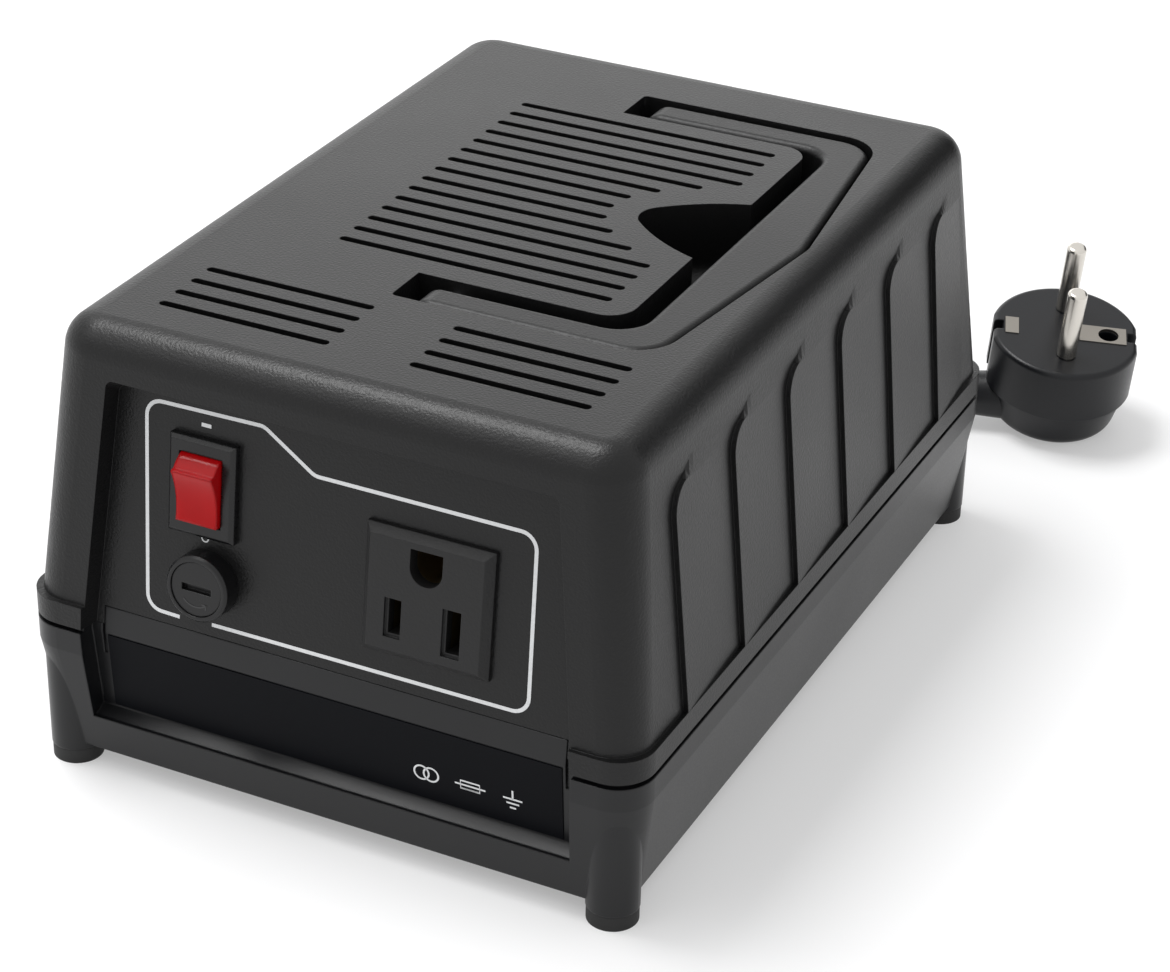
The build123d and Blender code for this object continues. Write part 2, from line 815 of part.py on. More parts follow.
with BuildPart() as housing_screws:
    with BuildSketch(Plane.XY.offset(screw_seat_height)):
        with GridLocations(2 * screw_x, 2 * screw_y, 2, 2):
            Circle(screw_head_radius)
    extrude(amount=-screw_head_height)
    with BuildSketch(Plane.XY.offset(screw_seat_height)):
        with GridLocations(2 * screw_x, 2 * screw_y, 2, 2):
            Circle(screw_shank_radius)
    extrude(amount=screw_length)
housing_screws.part.label = "housing_screws"

# A bare film on the lower housing's sunk face
label_plane = Plane(
    origin=(0, lower_face_y(label_bottom), label_bottom), x_dir=(1, 0, 0), z_dir=(0, -1, -lower_slope)
)
with BuildPart() as panel_label:
    with BuildSketch(label_plane):
        with Locations((0, (label_top - label_bottom) / 2)):
            Rectangle(2 * label_half, label_top - label_bottom)
    extrude(amount=label_thickness)
panel_label.part.label = "panel_label"

# Outlet: a bevelled flange and a body with pockets for its contacts
outlet_plane = Plane(
    origin=panel_plane.from_local_coords((outlet_x, outlet_up, 0)),
    x_dir=(1, 0, 0),
    z_dir=panel_plane.z_dir,
)
pocket_top = outlet_proud - slot_throat
blade_slots = [
    (-blade_spacing / 2, left_slot_width, left_slot_height),
    (blade_spacing / 2, right_slot_width, right_slot_height),
]


def earth_outline(margin):
    """The earth pin's hole: round below and square on top, grown by a margin."""
    radius = earth_width / 2 + margin
    with BuildSketch() as outline:
        Circle(radius)
        Rectangle(2 * radius, earth_flat + margin, align=(Align.CENTER, Align.MIN))
        with Locations((0, earth_flat + margin)):
            Rectangle(2 * radius, radius, align=(Align.CENTER, Align.MIN), mode=Mode.SUBTRACT)
    return outline.sketch


earth_face = earth_outline(0)
earth_pocket_face = earth_outline(contact_thickness)

with BuildPart() as outlet_body:
    with BuildSketch(outlet_plane):
        Rectangle(outlet_width, outlet_height)
    extrude(amount=outlet_proud)
    chamfer(outlet_body.faces().sort_by(panel_axis)[-1].edges(), outlet_bevel)
    with BuildSketch(outlet_plane):
        Rectangle(outlet_body_width, outlet_body_height)
    extrude(amount=-outlet_body_depth)
    with BuildSketch(outlet_plane.offset(outlet_proud)):
        for place, width, height in blade_slots:
            with Locations((place, blade_up)):
                Rectangle(width, height)
        with Locations((0, earth_up)):
            add(earth_face)
    extrude(amount=-slot_throat - contact_depth, mode=Mode.SUBTRACT)
    with BuildSketch(outlet_plane.offset(pocket_top)):
        for place, width, height in blade_slots:
            with Locations((place, blade_up)):
                Rectangle(width + 2 * contact_thickness, height)
        with Locations((0, earth_up)):
            add(earth_pocket_face)
    extrude(amount=-contact_depth, mode=Mode.SUBTRACT)
    with BuildSketch(outlet_plane.offset(pocket_top - contact_depth)):
        for place, width, height in blade_slots:
            with Locations((place, blade_up)):
                Rectangle(contact_thickness, tab_width)
        with Locations((0, earth_up)):
            Rectangle(tab_width, contact_thickness)
    extrude(amount=-outlet_body_depth, mode=Mode.SUBTRACT)
    # Lead-ins at the two blade slots
    with BuildSketch(outlet_plane.offset(outlet_proud)):
        for place, width, height in blade_slots:
            with Locations((place - slot_lead_in / 2, blade_up - slot_lead_in / 2)):
                Rectangle(width + slot_lead_in, height + slot_lead_in)
    extrude(amount=-slot_lead_in, mode=Mode.SUBTRACT)
outlet_body.part.label = "outlet_body"

# Each blade contact is a folded clip with a tab through the body's back
with BuildPart() as outlet_blade_contacts:
    for place, width, height in blade_slots:
        with BuildSketch(outlet_plane.offset(pocket_top)):
            with Locations((place, blade_up)):
                Rectangle(width + 2 * contact_thickness, height)
                Rectangle(width, height + overrun, mode=Mode.SUBTRACT)
        extrude(amount=-contact_depth)
        with BuildSketch(outlet_plane.offset(pocket_top - contact_depth)):
            with Locations((place, blade_up)):
                Rectangle(width + 2 * contact_thickness, height)
        extrude(amount=contact_thickness)
        with BuildSketch(outlet_plane.offset(pocket_top - contact_depth)):
            with Locations((place, blade_up)):
                Rectangle(contact_thickness, tab_width)
        extrude(amount=-(outlet_body_depth + pocket_top - contact_depth) - tab_length)
outlet_blade_contacts.part.label = "outlet_blade_contacts"

with BuildPart() as outlet_earth_contact:
    with BuildSketch(outlet_plane.offset(pocket_top)):
        with Locations((0, earth_up)):
            add(earth_pocket_face)
            add(earth_face, mode=Mode.SUBTRACT)
    extrude(amount=-contact_depth)
    with BuildSketch(outlet_plane.offset(pocket_top - contact_depth)):
        with Locations((0, earth_up)):
            add(earth_pocket_face)
    extrude(amount=contact_thickness)
    with BuildSketch(outlet_plane.offset(pocket_top - contact_depth)):
        with Locations((0, earth_up)):
            Rectangle(tab_width, contact_thickness)
    extrude(amount=-(outlet_body_depth + pocket_top - contact_depth) - tab_length)
outlet_earth_contact.part.label = "outlet_earth_contact"

# Switch: a frame with a round-ended room for the rocker, which turns on side pins
switch_plane = Plane(
    origin=panel_plane.from_local_coords((switch_x, switch_up, 0)),
    x_dir=(1, 0, 0),
    z_dir=panel_plane.z_dir,
)
rocker_side_plane = Plane(
    origin=switch_plane.from_local_coords((0, 0, -rocker_axis_depth)),
    x_dir=switch_plane.y_dir,
    z_dir=(1, 0, 0),
)
rocker_hole_radius = rocker_pin_radius + pin_clearance
rocker_half = rocker_width / 2
window_half = rocker_half + rocker_side_gap

with BuildPart() as switch_frame:
    with BuildSketch(switch_plane):
        Rectangle(switch_width, switch_height)
    extrude(amount=switch_proud)
    chamfer(switch_frame.faces().sort_by(panel_axis)[-1].edges(), switch_edge)
    with BuildSketch(switch_plane):
        Rectangle(switch_body_width, switch_body_height)
    extrude(amount=-switch_body_depth)
    with BuildSketch(rocker_side_plane):
        Circle(rocker_radius + rocker_end_gap)
    extrude(amount=window_half, both=True, mode=Mode.SUBTRACT)
    with BuildSketch(switch_plane.offset(-rocker_axis_depth)):
        Rectangle(2 * window_half, 2 * (rocker_radius - lamp_radius))
    extrude(amount=-lamp_room_depth + rocker_axis_depth, mode=Mode.SUBTRACT)
    with BuildSketch(rocker_side_plane):
        Circle(rocker_hole_radius)
    extrude(amount=rocker_half + rocker_pin_reach + pin_clearance, both=True, mode=Mode.SUBTRACT)
    with BuildSketch(switch_plane.offset(-lamp_room_depth + overrun)):
        with GridLocations(0, switch_tab_pitch, 1, switch_tab_count):
            Rectangle(tab_width, contact_thickness)
    extrude(amount=-switch_body_depth, mode=Mode.SUBTRACT)
switch_frame.part.label = "switch_frame"

with BuildPart() as switch_terminals:
    with BuildSketch(switch_plane.offset(-lamp_room_depth)):
        with GridLocations(0, switch_tab_pitch, 1, switch_tab_count):
            Rectangle(tab_width, contact_thickness)
    extrude(amount=-(switch_body_depth - lamp_room_depth) - tab_length)
switch_terminals.part.label = "switch_terminals"

with BuildPart() as switch_lamp:
    with BuildSketch(Plane(
        origin=switch_plane.from_local_coords((0, switch_tab_pitch / 2, lamp_radius - lamp_room_depth)),
        x_dir=switch_plane.y_dir,
        z_dir=(1, 0, 0),
    )):
        Circle(lamp_radius)
    extrude(amount=lamp_length / 2, both=True)
switch_lamp.part.label = "switch_lamp"


def rocker_point(radius, angle):
    """A point of the rocker's side outline, from its axis."""
    return (radius * cos(radians(angle)), radius * sin(radians(angle)))


rocker_low_end = 180 - rocker_end_angle + rocker_travel
rocker_low_tip = 180 - rocker_tip_angle + rocker_travel
tip = rocker_point(rocker_tip_radius, rocker_tip_angle)
low_tip = rocker_point(rocker_tip_radius, rocker_low_tip)
under_angle = degrees(-atan2(rocker_under, rocker_radius))
dish = ((tip[0] + low_tip[0]) / 2, (tip[1] + low_tip[1]) / 2 - rocker_dish)
with BuildPart() as power_rocker:
    with BuildSketch(rocker_side_plane):
        with BuildLine():
            under = rocker_point(rocker_radius, under_angle)
            low_under = rocker_point(rocker_radius, 180 - under_angle)
            end = rocker_point(rocker_radius, rocker_end_angle)
            low_end = rocker_point(rocker_radius, rocker_low_end)
            middle = rocker_point(rocker_radius, (rocker_end_angle + under_angle) / 2)
            low_middle = rocker_point(rocker_radius, (rocker_low_end + 180 - under_angle) / 2)
            ThreePointArc(under, middle, end)
            Line(end, tip)
            ThreePointArc(tip, dish, low_tip)
            Line(low_tip, low_end)
            ThreePointArc(low_end, low_middle, low_under)
            Line(low_under, under)
        make_face()
    extrude(amount=rocker_half, both=True)
    with BuildSketch(rocker_side_plane):
        Circle(rocker_pin_radius)
    extrude(amount=rocker_half + rocker_pin_reach, both=True)
power_rocker.part.label = "power_rocker"

# Fuse holder: collar, barrel, nut and contacts; the carrier draws out with the fuse
fuse_plane = Plane(
    origin=panel_plane.from_local_coords((fuse_x, fuse_up, 0)),
    x_dir=(1, 0, 0),
    z_dir=panel_plane.z_dir,
)
cap_seat = fuse_proud - fuse_cap_drop - fuse_cap_thickness
fuse_top = cap_seat - fuse_carrier_flange - fuse_spigot_length - overrun
fuse_foot = fuse_top - fuse_length
barrel_bore = fuse_carrier_radius + seat_gap

with BuildPart() as fuse_holder:
    with BuildSketch(fuse_plane):
        Circle(fuse_collar_radius)
    extrude(amount=fuse_proud)
    chamfer(fuse_holder.faces().sort_by(panel_axis)[-1].edges(), fuse_collar_edge)
    with BuildSketch(fuse_plane):
        Circle(fuse_barrel_radius)
    extrude(amount=-fuse_barrel_depth)
    with BuildSketch(fuse_plane.offset(fuse_proud)):
        Circle(fuse_cap_radius + fuse_ring_gap)
    extrude(amount=cap_seat - fuse_proud, mode=Mode.SUBTRACT)
    with BuildSketch(fuse_plane.offset(cap_seat)):
        Circle(barrel_bore)
    extrude(amount=fuse_foot - contact_thickness - cap_seat, mode=Mode.SUBTRACT)
    with BuildSketch(fuse_plane.offset(fuse_foot - contact_thickness)):
        Rectangle(fuse_tab_width, contact_thickness)
    extrude(amount=-fuse_barrel_depth, mode=Mode.SUBTRACT)
fuse_holder.part.label = "fuse_holder"

with BuildPart() as fuse_nut:
    with BuildSketch(fuse_plane.offset(-wall)):
        RegularPolygon(fuse_nut_width / 2, 6, major_radius=False)
        Circle(fuse_barrel_radius, mode=Mode.SUBTRACT)
    extrude(amount=-fuse_nut_height)
fuse_nut.part.label = "fuse_nut"

with BuildPart() as fuse_contacts:
    with BuildSketch(fuse_plane.offset(fuse_foot - contact_thickness)):
        Circle(barrel_bore)
    extrude(amount=contact_thickness)
    with BuildSketch(fuse_plane.offset(fuse_foot - contact_thickness)):
        Rectangle(fuse_tab_width, contact_thickness)
    extrude(amount=-(fuse_barrel_depth + fuse_foot - contact_thickness) - fuse_tab_length)
    with BuildSketch(fuse_plane.offset(-fuse_barrel_depth)):
        Circle(fuse_barrel_radius + contact_thickness)
        Circle(fuse_barrel_radius, mode=Mode.SUBTRACT)
    extrude(amount=fuse_tab_width)
    with BuildSketch(fuse_plane.offset(-fuse_barrel_depth)):
        with Locations((0, fuse_barrel_radius + contact_thickness / 2)):
            Rectangle(fuse_tab_width, contact_thickness)
    extrude(amount=-fuse_tab_length)
fuse_contacts.part.label = "fuse_contacts"

with BuildPart() as fuse_carrier:
    with BuildSketch(fuse_plane.offset(cap_seat)):
        Circle(fuse_carrier_radius)
    extrude(amount=-fuse_carrier_length)
    with BuildSketch(fuse_plane.offset(fuse_top)):
        Circle(fuse_carrier_bore)
    extrude(amount=-fuse_carrier_length, mode=Mode.SUBTRACT)
    with BuildSketch(fuse_plane.offset(cap_seat)):
        Circle(fuse_spigot_radius + pin_clearance)
    extrude(amount=-fuse_spigot_length - seat_gap, mode=Mode.SUBTRACT)
fuse_carrier.part.label = "fuse_carrier"

with BuildPart() as fuse_cap:
    with BuildSketch(fuse_plane.offset(cap_seat)):
        Circle(fuse_cap_radius)
    extrude(amount=fuse_cap_thickness)
    with BuildSketch(fuse_plane.offset(cap_seat)):
        Circle(fuse_spigot_radius)
    extrude(amount=-fuse_spigot_length)
    with BuildSketch(fuse_plane.offset(cap_seat + fuse_cap_thickness)):
        Rectangle(fuse_slot_length, fuse_slot_width)
    extrude(amount=-fuse_slot_depth, mode=Mode.SUBTRACT)
fuse_cap.part.label = "fuse_cap"

with BuildPart() as fuse_tube:
    with BuildSketch(fuse_plane.offset(fuse_foot + contact_thickness / 2)):
        Circle(fuse_glass_radius)
    extrude(amount=fuse_length - contact_thickness)
fuse_tube.part.label = "fuse_tube"

with BuildPart() as fuse_ends:
    for start, reach in ((fuse_foot, fuse_end_length), (fuse_top, -fuse_end_length)):
        with BuildSketch(fuse_plane.offset(start)):
            Circle(fuse_end_radius)
        extrude(amount=reach)
    with BuildSketch(fuse_plane.offset(fuse_foot + contact_thickness / 2)):
        Circle(fuse_glass_radius)
    extrude(amount=fuse_length - contact_thickness, mode=Mode.SUBTRACT)
fuse_ends.part.label = "fuse_ends"

# Transformer: laminated core, bobbin, winding, straps, bolts and a thermal cut-out
core_middle = core_bottom + core_stack / 2
core_top = core_bottom + core_stack
winding_half_x = core_limb / 2 + core_window - bobbin_gap - seat_gap
flange_half_z = core_stack / 2 + winding_height + overrun
tube_half_x = core_limb / 2 + bobbin_gap + bobbin_wall
tube_half_z = core_stack / 2 + bobbin_gap + bobbin_wall
spool_half = core_window_length / 2 - bobbin_gap

with BuildPart() as transformer_core:
    with BuildSketch(Plane.XY.offset(core_bottom)):
        with Locations((0, core_y)):
            Rectangle(core_width, core_length)
            with GridLocations(core_limb + core_window, 0, 2, 1):
                Rectangle(core_window, core_window_length, mode=Mode.SUBTRACT)
            with GridLocations(2 * core_hole_x, 2 * core_hole_y, 2, 2):
                Circle(core_hole_radius, mode=Mode.SUBTRACT)
    extrude(amount=core_stack)
transformer_core.part.label = "transformer_core"

spool_plane = Plane.XZ.offset(-core_y - spool_half)
with BuildPart() as transformer_bobbin:
    with BuildSketch(spool_plane):
        with Locations((0, core_middle)):
            Rectangle(2 * tube_half_x, 2 * tube_half_z)
    extrude(amount=2 * spool_half)
    for start, reach in ((0, bobbin_wall), (2 * spool_half, -bobbin_wall)):
        with BuildSketch(spool_plane.offset(start)):
            with Locations((0, core_middle)):
                Rectangle(2 * winding_half_x, 2 * flange_half_z)
        extrude(amount=reach)
    with BuildSketch(spool_plane):
        with Locations((0, core_middle)):
            Rectangle(core_limb + 2 * bobbin_gap, core_stack + 2 * bobbin_gap)
    extrude(amount=2 * spool_half, mode=Mode.SUBTRACT)
transformer_bobbin.part.label = "transformer_bobbin"

with BuildPart() as transformer_winding:
    with BuildSketch(spool_plane.offset(bobbin_wall)):
        with Locations((0, core_middle)):
            RectangleRounded(2 * winding_half_x, 2 * (flange_half_z - overrun), winding_corner_radius)
            Rectangle(2 * tube_half_x, 2 * tube_half_z, mode=Mode.SUBTRACT)
    extrude(amount=2 * (spool_half - bobbin_wall))
transformer_winding.part.label = "transformer_winding"

with BuildPart() as transformer_straps:
    with BuildSketch(Plane.XY.offset(core_top)):
        with Locations((0, core_y)):
            with GridLocations(0, 2 * core_hole_y, 1, 2):
                Rectangle(core_width - overrun, strap_width)
            with GridLocations(2 * core_hole_x, 2 * core_hole_y, 2, 2):
                Circle(core_hole_radius, mode=Mode.SUBTRACT)
    extrude(amount=strap_thickness)
transformer_straps.part.label = "transformer_straps"

with BuildPart() as transformer_bolts:
    with BuildSketch(Plane.XY.offset(core_top + strap_thickness)):
        with Locations((0, core_y)):
            with GridLocations(2 * core_hole_x, 2 * core_hole_y, 2, 2):
                RegularPolygon(bolt_head_radius, 6)
    extrude(amount=bolt_head_height)
    with BuildSketch(Plane.XY.offset(core_top + strap_thickness)):
        with Locations((0, core_y)):
            with GridLocations(2 * core_hole_x, 2 * core_hole_y, 2, 2):
                Circle(bolt_radius)
    extrude(amount=-(core_stack + strap_thickness + bolt_grip - overrun))
transformer_bolts.part.label = "transformer_bolts"

with BuildPart() as thermal_cutout:
    with BuildSketch(Plane.XY.offset(core_middle + flange_half_z - overrun)):
        with Locations((cutout_x, core_y)):
            Rectangle(cutout_length, cutout_width)
    extrude(amount=cutout_height)
    fillet(thermal_cutout.edges().filter_by(Axis.X).group_by(Axis.Z)[-1], seat_gap)
thermal_cutout.part.label = "thermal_cutout"

# Strain relief where the lead leaves the lower housing's rear wall
relief_plane = Plane(origin=(exit_x, relief_seat_y, exit_z), x_dir=(1, 0, 0), z_dir=(0, 1, 0))
relief_back = relief_boss_inner - relief_seat_y
cord_radius = cord_diameter / 2
with BuildPart() as cord_strain_relief:
    with BuildSketch(Plane(origin=relief_plane.origin, x_dir=(1, 0, 0), z_dir=(0, 0, 1))):
        with BuildLine():
            Polyline(
                (0, relief_back - relief_grip),
                (relief_collar_radius - overrun, relief_back - relief_collar),
                (relief_collar_radius, relief_back),
                (relief_hole_radius - pin_clearance, relief_back),
                (relief_hole_radius - pin_clearance, 0),
                (relief_flange_radius, 0),
                (relief_flange_radius, relief_flange),
                (relief_root_radius, relief_flange),
                (relief_tip_radius, relief_length),
                (0, relief_length),
                close=True,
            )
        make_face()
    revolve(axis=Axis(relief_plane.origin, (0, 1, 0)))
cord_strain_relief.part.label = "cord_strain_relief"


# The mains lead: a short lead, a coil put away behind the housing, and a tail
def bend_radii(points):
    """The largest arc that each corner's two runs allow."""
    radii = []
    for before, corner, after in zip(points, points[1:], points[2:]):
        first = Vector(*corner) - Vector(*before)
        second = Vector(*after) - Vector(*corner)
        half_turn = radians(first.get_angle(second)) / 2
        radii.append(cord_bend_share * min(first.length, second.length) / tan(half_turn))
    return radii


floor_z = cord_radius + cord_rest_gap
upper_z = floor_z + coil_layer_step
half_turns = 2 * coil_turns_per_layer
half_step = coil_turn_step / 2
coil_centre_x = exit_x - coil_inner_radius - half_step * half_turns


def coil_point(place):
    """Where the coil stands after so many half turns, from its outer end."""
    inward = abs(half_turns + 0.5 - place) - 0.5
    radius = coil_inner_radius + half_step * inward
    side = 1 if place % 2 == 0 else -1
    height = upper_z if place <= half_turns else floor_z
    return (coil_centre_x + side * radius, coil_centre_y, height)


coil_points = [coil_point(place) for place in range(2 * half_turns + 2)]
last_turn_radius = coil_inner_radius + half_step * (half_turns + 0.5)
coil_end = (
    coil_points[-1][0] + last_turn_radius,
    coil_centre_y - last_turn_radius,
    floor_z,
)
with BuildPart() as cord_coil:
    with BuildLine() as coil_path:
        heading = Vector(0, 1, 0)
        for start, finish in zip(coil_points, coil_points[1:]):
            reach = (Vector(*finish) - Vector(*start)).length / 2
            middle = (Vector(*start) + Vector(*finish)) / 2 + heading * reach
            TangentArc(start, middle, tangent=heading)
            TangentArc(middle, finish, tangent=Vector(*finish) - Vector(*start))
            heading = -heading
        TangentArc(coil_points[-1], coil_end, tangent=heading)
    with BuildSketch(Plane(origin=coil_points[0], z_dir=(0, 1, 0))):
        Circle(cord_radius)
    sweep(path=coil_path.wire())
cord_coil.part.label = "cord_coil"

lead_start = (exit_x, relief_seat_y + relief_length, exit_z)
lead_run = (coil_centre_y - lead_start[1]) / 3
lead_points = [
    lead_start,
    (exit_x, lead_start[1] + lead_run, exit_z),
    (exit_x, coil_centre_y - lead_run, upper_z),
    coil_points[0],
]

# Plug: a round earthed plug on its back, its face tilted, its boot along the floor
plug_plane = Plane(
    origin=(plug_x, plug_y, plug_z),
    x_dir=(cos(radians(plug_turn)), sin(radians(plug_turn)), 0),
    z_dir=(tan(radians(plug_lean_side)), -tan(radians(plug_lean_front)), 1),
)
boot_way = Vector(-cos(radians(plug_turn)), -sin(radians(plug_turn)), 0)
plug_centre = Vector(plug_x, plug_y, boot_height)
boot_start = plug_centre + boot_way * boot_root_place
boot_tip = plug_centre + boot_way * (boot_root_place + boot_length)
tail_points = [
    (boot_tip.X, boot_tip.Y, boot_tip.Z),
    (boot_tip.X + boot_way.X * tail_run, boot_tip.Y + boot_way.Y * tail_run, boot_tip.Z),
    (13.3, 119.1, 6.0),
    (0.8, 109.0, 4.3),
    (-14.7, coil_end[1], floor_z),
    coil_end,
]
lead_radii = bend_radii(lead_points)
tail_radii = bend_radii(tail_points)

with BuildPart() as cord_lead:
    with BuildLine() as lead_path:
        FilletPolyline(*lead_points, radius=lead_radii)
    with BuildSketch(Plane(origin=lead_points[0], z_dir=(0, 1, 0))):
        Circle(cord_radius)
    sweep(path=lead_path.wire())
cord_lead.part.label = "cord_lead"

with BuildPart() as cord_tail:
    with BuildLine() as tail_path:
        FilletPolyline(*tail_points, radius=tail_radii)
    with BuildSketch(Plane(origin=tail_points[0], z_dir=boot_way)):
        Circle(cord_radius)
    sweep(path=tail_path.wire())
cord_tail.part.label = "cord_tail"

with BuildPart() as plug_body:
    with BuildSketch(plug_plane):
        Circle(plug_radius)
        Rectangle(2 * plug_flat, 2 * plug_radius, mode=Mode.INTERSECT)
    extrude(amount=-plug_rim_depth)
    with BuildSketch(plug_plane.offset(-plug_rim_depth)):
        Circle(plug_radius - plug_groove_depth)
    with BuildSketch(plug_plane.offset(-plug_back_depth)):
        Circle(plug_back_radius)
    loft(ruled=True)
    fillet(plug_body.faces().sort_by(Axis(plug_plane.origin, plug_plane.z_dir))[0].edges(), plug_back_edge)
    with BuildSketch(Plane(origin=boot_start, z_dir=boot_way)):
        Circle(boot_radius)
    with BuildSketch(Plane(origin=boot_tip, z_dir=boot_way)):
        Circle(boot_tip_radius)
    loft(ruled=True)
    fillet(plug_body.faces().sort_by(Axis(plug_plane.origin, plug_plane.z_dir))[-1].edges(), plug_edge_radius)
    with BuildSketch(plug_plane):
        with GridLocations(2 * plug_flat, 0, 2, 1):
            Rectangle(2 * plug_notch_depth, plug_notch_half)
    extrude(amount=-plug_rim_depth, mode=Mode.SUBTRACT)
    with BuildSketch(plug_plane):
        with GridLocations(0, pin_spacing, 1, 2):
            Circle(pin_neck_radius)
    extrude(amount=-pin_root, mode=Mode.SUBTRACT)
    with BuildSketch(plug_plane):
        with Locations((earth_socket_place, 0)):
            Circle(earth_socket_radius)
    extrude(amount=-clip_depth, mode=Mode.SUBTRACT)
    with BuildSketch(plug_plane):
        with Locations(((plate_inner + plate_outer) / 2, 0)):
            Rectangle(plate_outer - plate_inner, clip_width)
        with Locations((-(clip_inner + plate_outer) / 2, 0)):
            Rectangle(plate_outer - clip_inner, clip_width)
    extrude(amount=-clip_thickness, mode=Mode.SUBTRACT)
plug_body.part.label = "plug_body"

with BuildPart() as plug_pins:
    with BuildSketch(plug_plane.offset(-pin_root)):
        with GridLocations(0, pin_spacing, 1, 2):
            Circle(pin_neck_radius)
    extrude(amount=pin_root + pin_neck)
    with BuildSketch(plug_plane.offset(pin_neck)):
        with GridLocations(0, pin_spacing, 1, 2):
            Circle(pin_radius)
    extrude(amount=pin_length - pin_neck)
    tips = plug_pins.faces().sort_by(Axis(plug_plane.origin, plug_plane.z_dir))[-2:]
    fillet(tips.edges(), pin_tip_radius)
plug_pins.part.label = "plug_pins"

with BuildPart() as plug_earth_contacts:
    with BuildSketch(plug_plane.offset(-clip_thickness)):
        with Locations(((plate_inner + plate_outer) / 2, 0)):
            Rectangle(plate_outer - plate_inner, clip_width)
        with Locations((earth_socket_place, 0)):
            Circle(earth_socket_radius, mode=Mode.SUBTRACT)
        with Locations((-(clip_inner + plate_outer) / 2, 0)):
            Rectangle(plate_outer - clip_inner, clip_width)
    extrude(amount=clip_thickness + seat_gap)
plug_earth_contacts.part.label = "plug_earth_contacts"

for piece in (
    upper_housing,
    carry_handle,
    handle_pins,
    lower_housing,
    rubber_feet,
    housing_screws,
    panel_label,
    outlet_body,
    outlet_blade_contacts,
    outlet_earth_contact,
    switch_frame,
    switch_terminals,
    switch_lamp,
    power_rocker,
    fuse_holder,
    fuse_nut,
    fuse_contacts,
    fuse_carrier,
    fuse_cap,
    fuse_tube,
    fuse_ends,
    transformer_core,
    transformer_bobbin,
    transformer_winding,
    transformer_straps,
    transformer_bolts,
    thermal_cutout,
    cord_strain_relief,
    cord_lead,
    cord_coil,
    cord_tail,
    plug_body,
    plug_pins,
    plug_earth_contacts,
):
    export_step(piece.part, f"parts/{piece.part.label}.step")

# What the cord's forms measure
section = pi * cord_radius**2
samples = int(coil_path.wire().length / coil_sample_step)
marks = [coil_path.wire().position_at(place / samples) for place in range(samples + 1)]
apart = int(pi * coil_inner_radius / coil_sample_step)
least_gap = min(
    (marks[far] - marks[near]).length
    for near in range(samples + 1)
    for far in range(near + apart, samples + 1)
) - cord_diameter
print("coil's least gap to itself, mm:", round(least_gap, 2))
for name, piece, path in (
    ("lead", cord_lead, lead_path),
    ("coil", cord_coil, coil_path),
    ("tail", cord_tail, tail_path),
):
    length = path.wire().length
    filled_share = piece.part.volume / section / length
    print(name, "length, mm:", round(length, 1), "volume share:", round(filled_share, 4))
print("lead's radii, diameters:", [round(radius / cord_diameter, 1) for radius in lead_radii])
print("tail's radii, diameters:", [round(radius / cord_diameter, 1) for radius in tail_radii])
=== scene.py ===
from math import cos, pi, radians, sin, tan

import bpy
from mathutils import Matrix, Vector


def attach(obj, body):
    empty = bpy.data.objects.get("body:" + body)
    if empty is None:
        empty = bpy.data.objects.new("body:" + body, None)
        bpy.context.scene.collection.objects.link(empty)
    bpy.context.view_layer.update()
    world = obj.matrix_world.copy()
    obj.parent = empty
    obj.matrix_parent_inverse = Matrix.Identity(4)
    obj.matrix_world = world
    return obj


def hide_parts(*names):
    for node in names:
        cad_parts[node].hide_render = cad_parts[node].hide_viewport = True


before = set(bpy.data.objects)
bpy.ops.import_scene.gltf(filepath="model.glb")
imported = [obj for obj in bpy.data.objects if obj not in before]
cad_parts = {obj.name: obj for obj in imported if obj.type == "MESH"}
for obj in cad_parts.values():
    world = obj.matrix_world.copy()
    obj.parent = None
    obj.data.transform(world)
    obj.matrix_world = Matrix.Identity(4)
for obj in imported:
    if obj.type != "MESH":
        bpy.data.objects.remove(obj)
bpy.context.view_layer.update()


# The table.
# A white sheet in a white room, lit softly from the left; a black card at the
# rear right, which the camera doesn't see, darkens the edges that face it.
class Shade:
    """A shader socket: sums make Math nodes, and node makes any other node."""

    def __init__(self, tree, socket=None):
        self.tree = tree
        self.socket = socket

    def node(self, kind, settings, *values, output=0, **named):
        """Makes a node, sets it, then fills its sockets in order or by their names."""
        made = self.tree.nodes.new(kind)
        for name, value in settings.items():
            setattr(made, name, value)
        sockets = list(zip(made.inputs, values))
        sockets += [(made.inputs[name.replace("_", " ")], value) for name, value in named.items()]
        for socket, value in sockets:
            if isinstance(value, Shade):
                self.tree.links.new(value.socket, socket)
            elif value is not None:
                socket.default_value = value
        return Shade(self.tree, made.outputs[output])

    def maths(self, operation, other):
        """A Math node of this value and another."""
        return self.node("ShaderNodeMath", {"operation": operation}, self, other)

    def __add__(self, other):
        return self.maths("ADD", other)

    def __mul__(self, other):
        return self.maths("MULTIPLY", other)

    __radd__ = __add__
    __rmul__ = __mul__

    def blend(self, first, second):
        """One colour where this value is 0 and another where it is 1."""
        number_and_vector_sockets = [None] * 5
        colour_result = 2
        return self.node(
            "ShaderNodeMix",
            {"data_type": "RGBA"},
            self,
            *number_and_vector_sockets,
            first,
            second,
            output=colour_result,
        )

    def noise(self, scale, detail):
        """Cloudy noise in the piece's own space, about 0.5 on average."""
        place = self.node("ShaderNodeTexCoord", {}, output="Object")
        return self.node("ShaderNodeTexNoise", {}, Vector=place, Scale=scale, Detail=detail)

    def seen(self):
        """Over 0 for a ray from the camera, in a reflection or through glass, else 0."""
        camera, glossy, through = (
            self.node("ShaderNodeLightPath", {}, output=name)
            for name in ("Is Camera Ray", "Is Glossy Ray", "Is Transmission Ray")
        )
        return camera + glossy + through


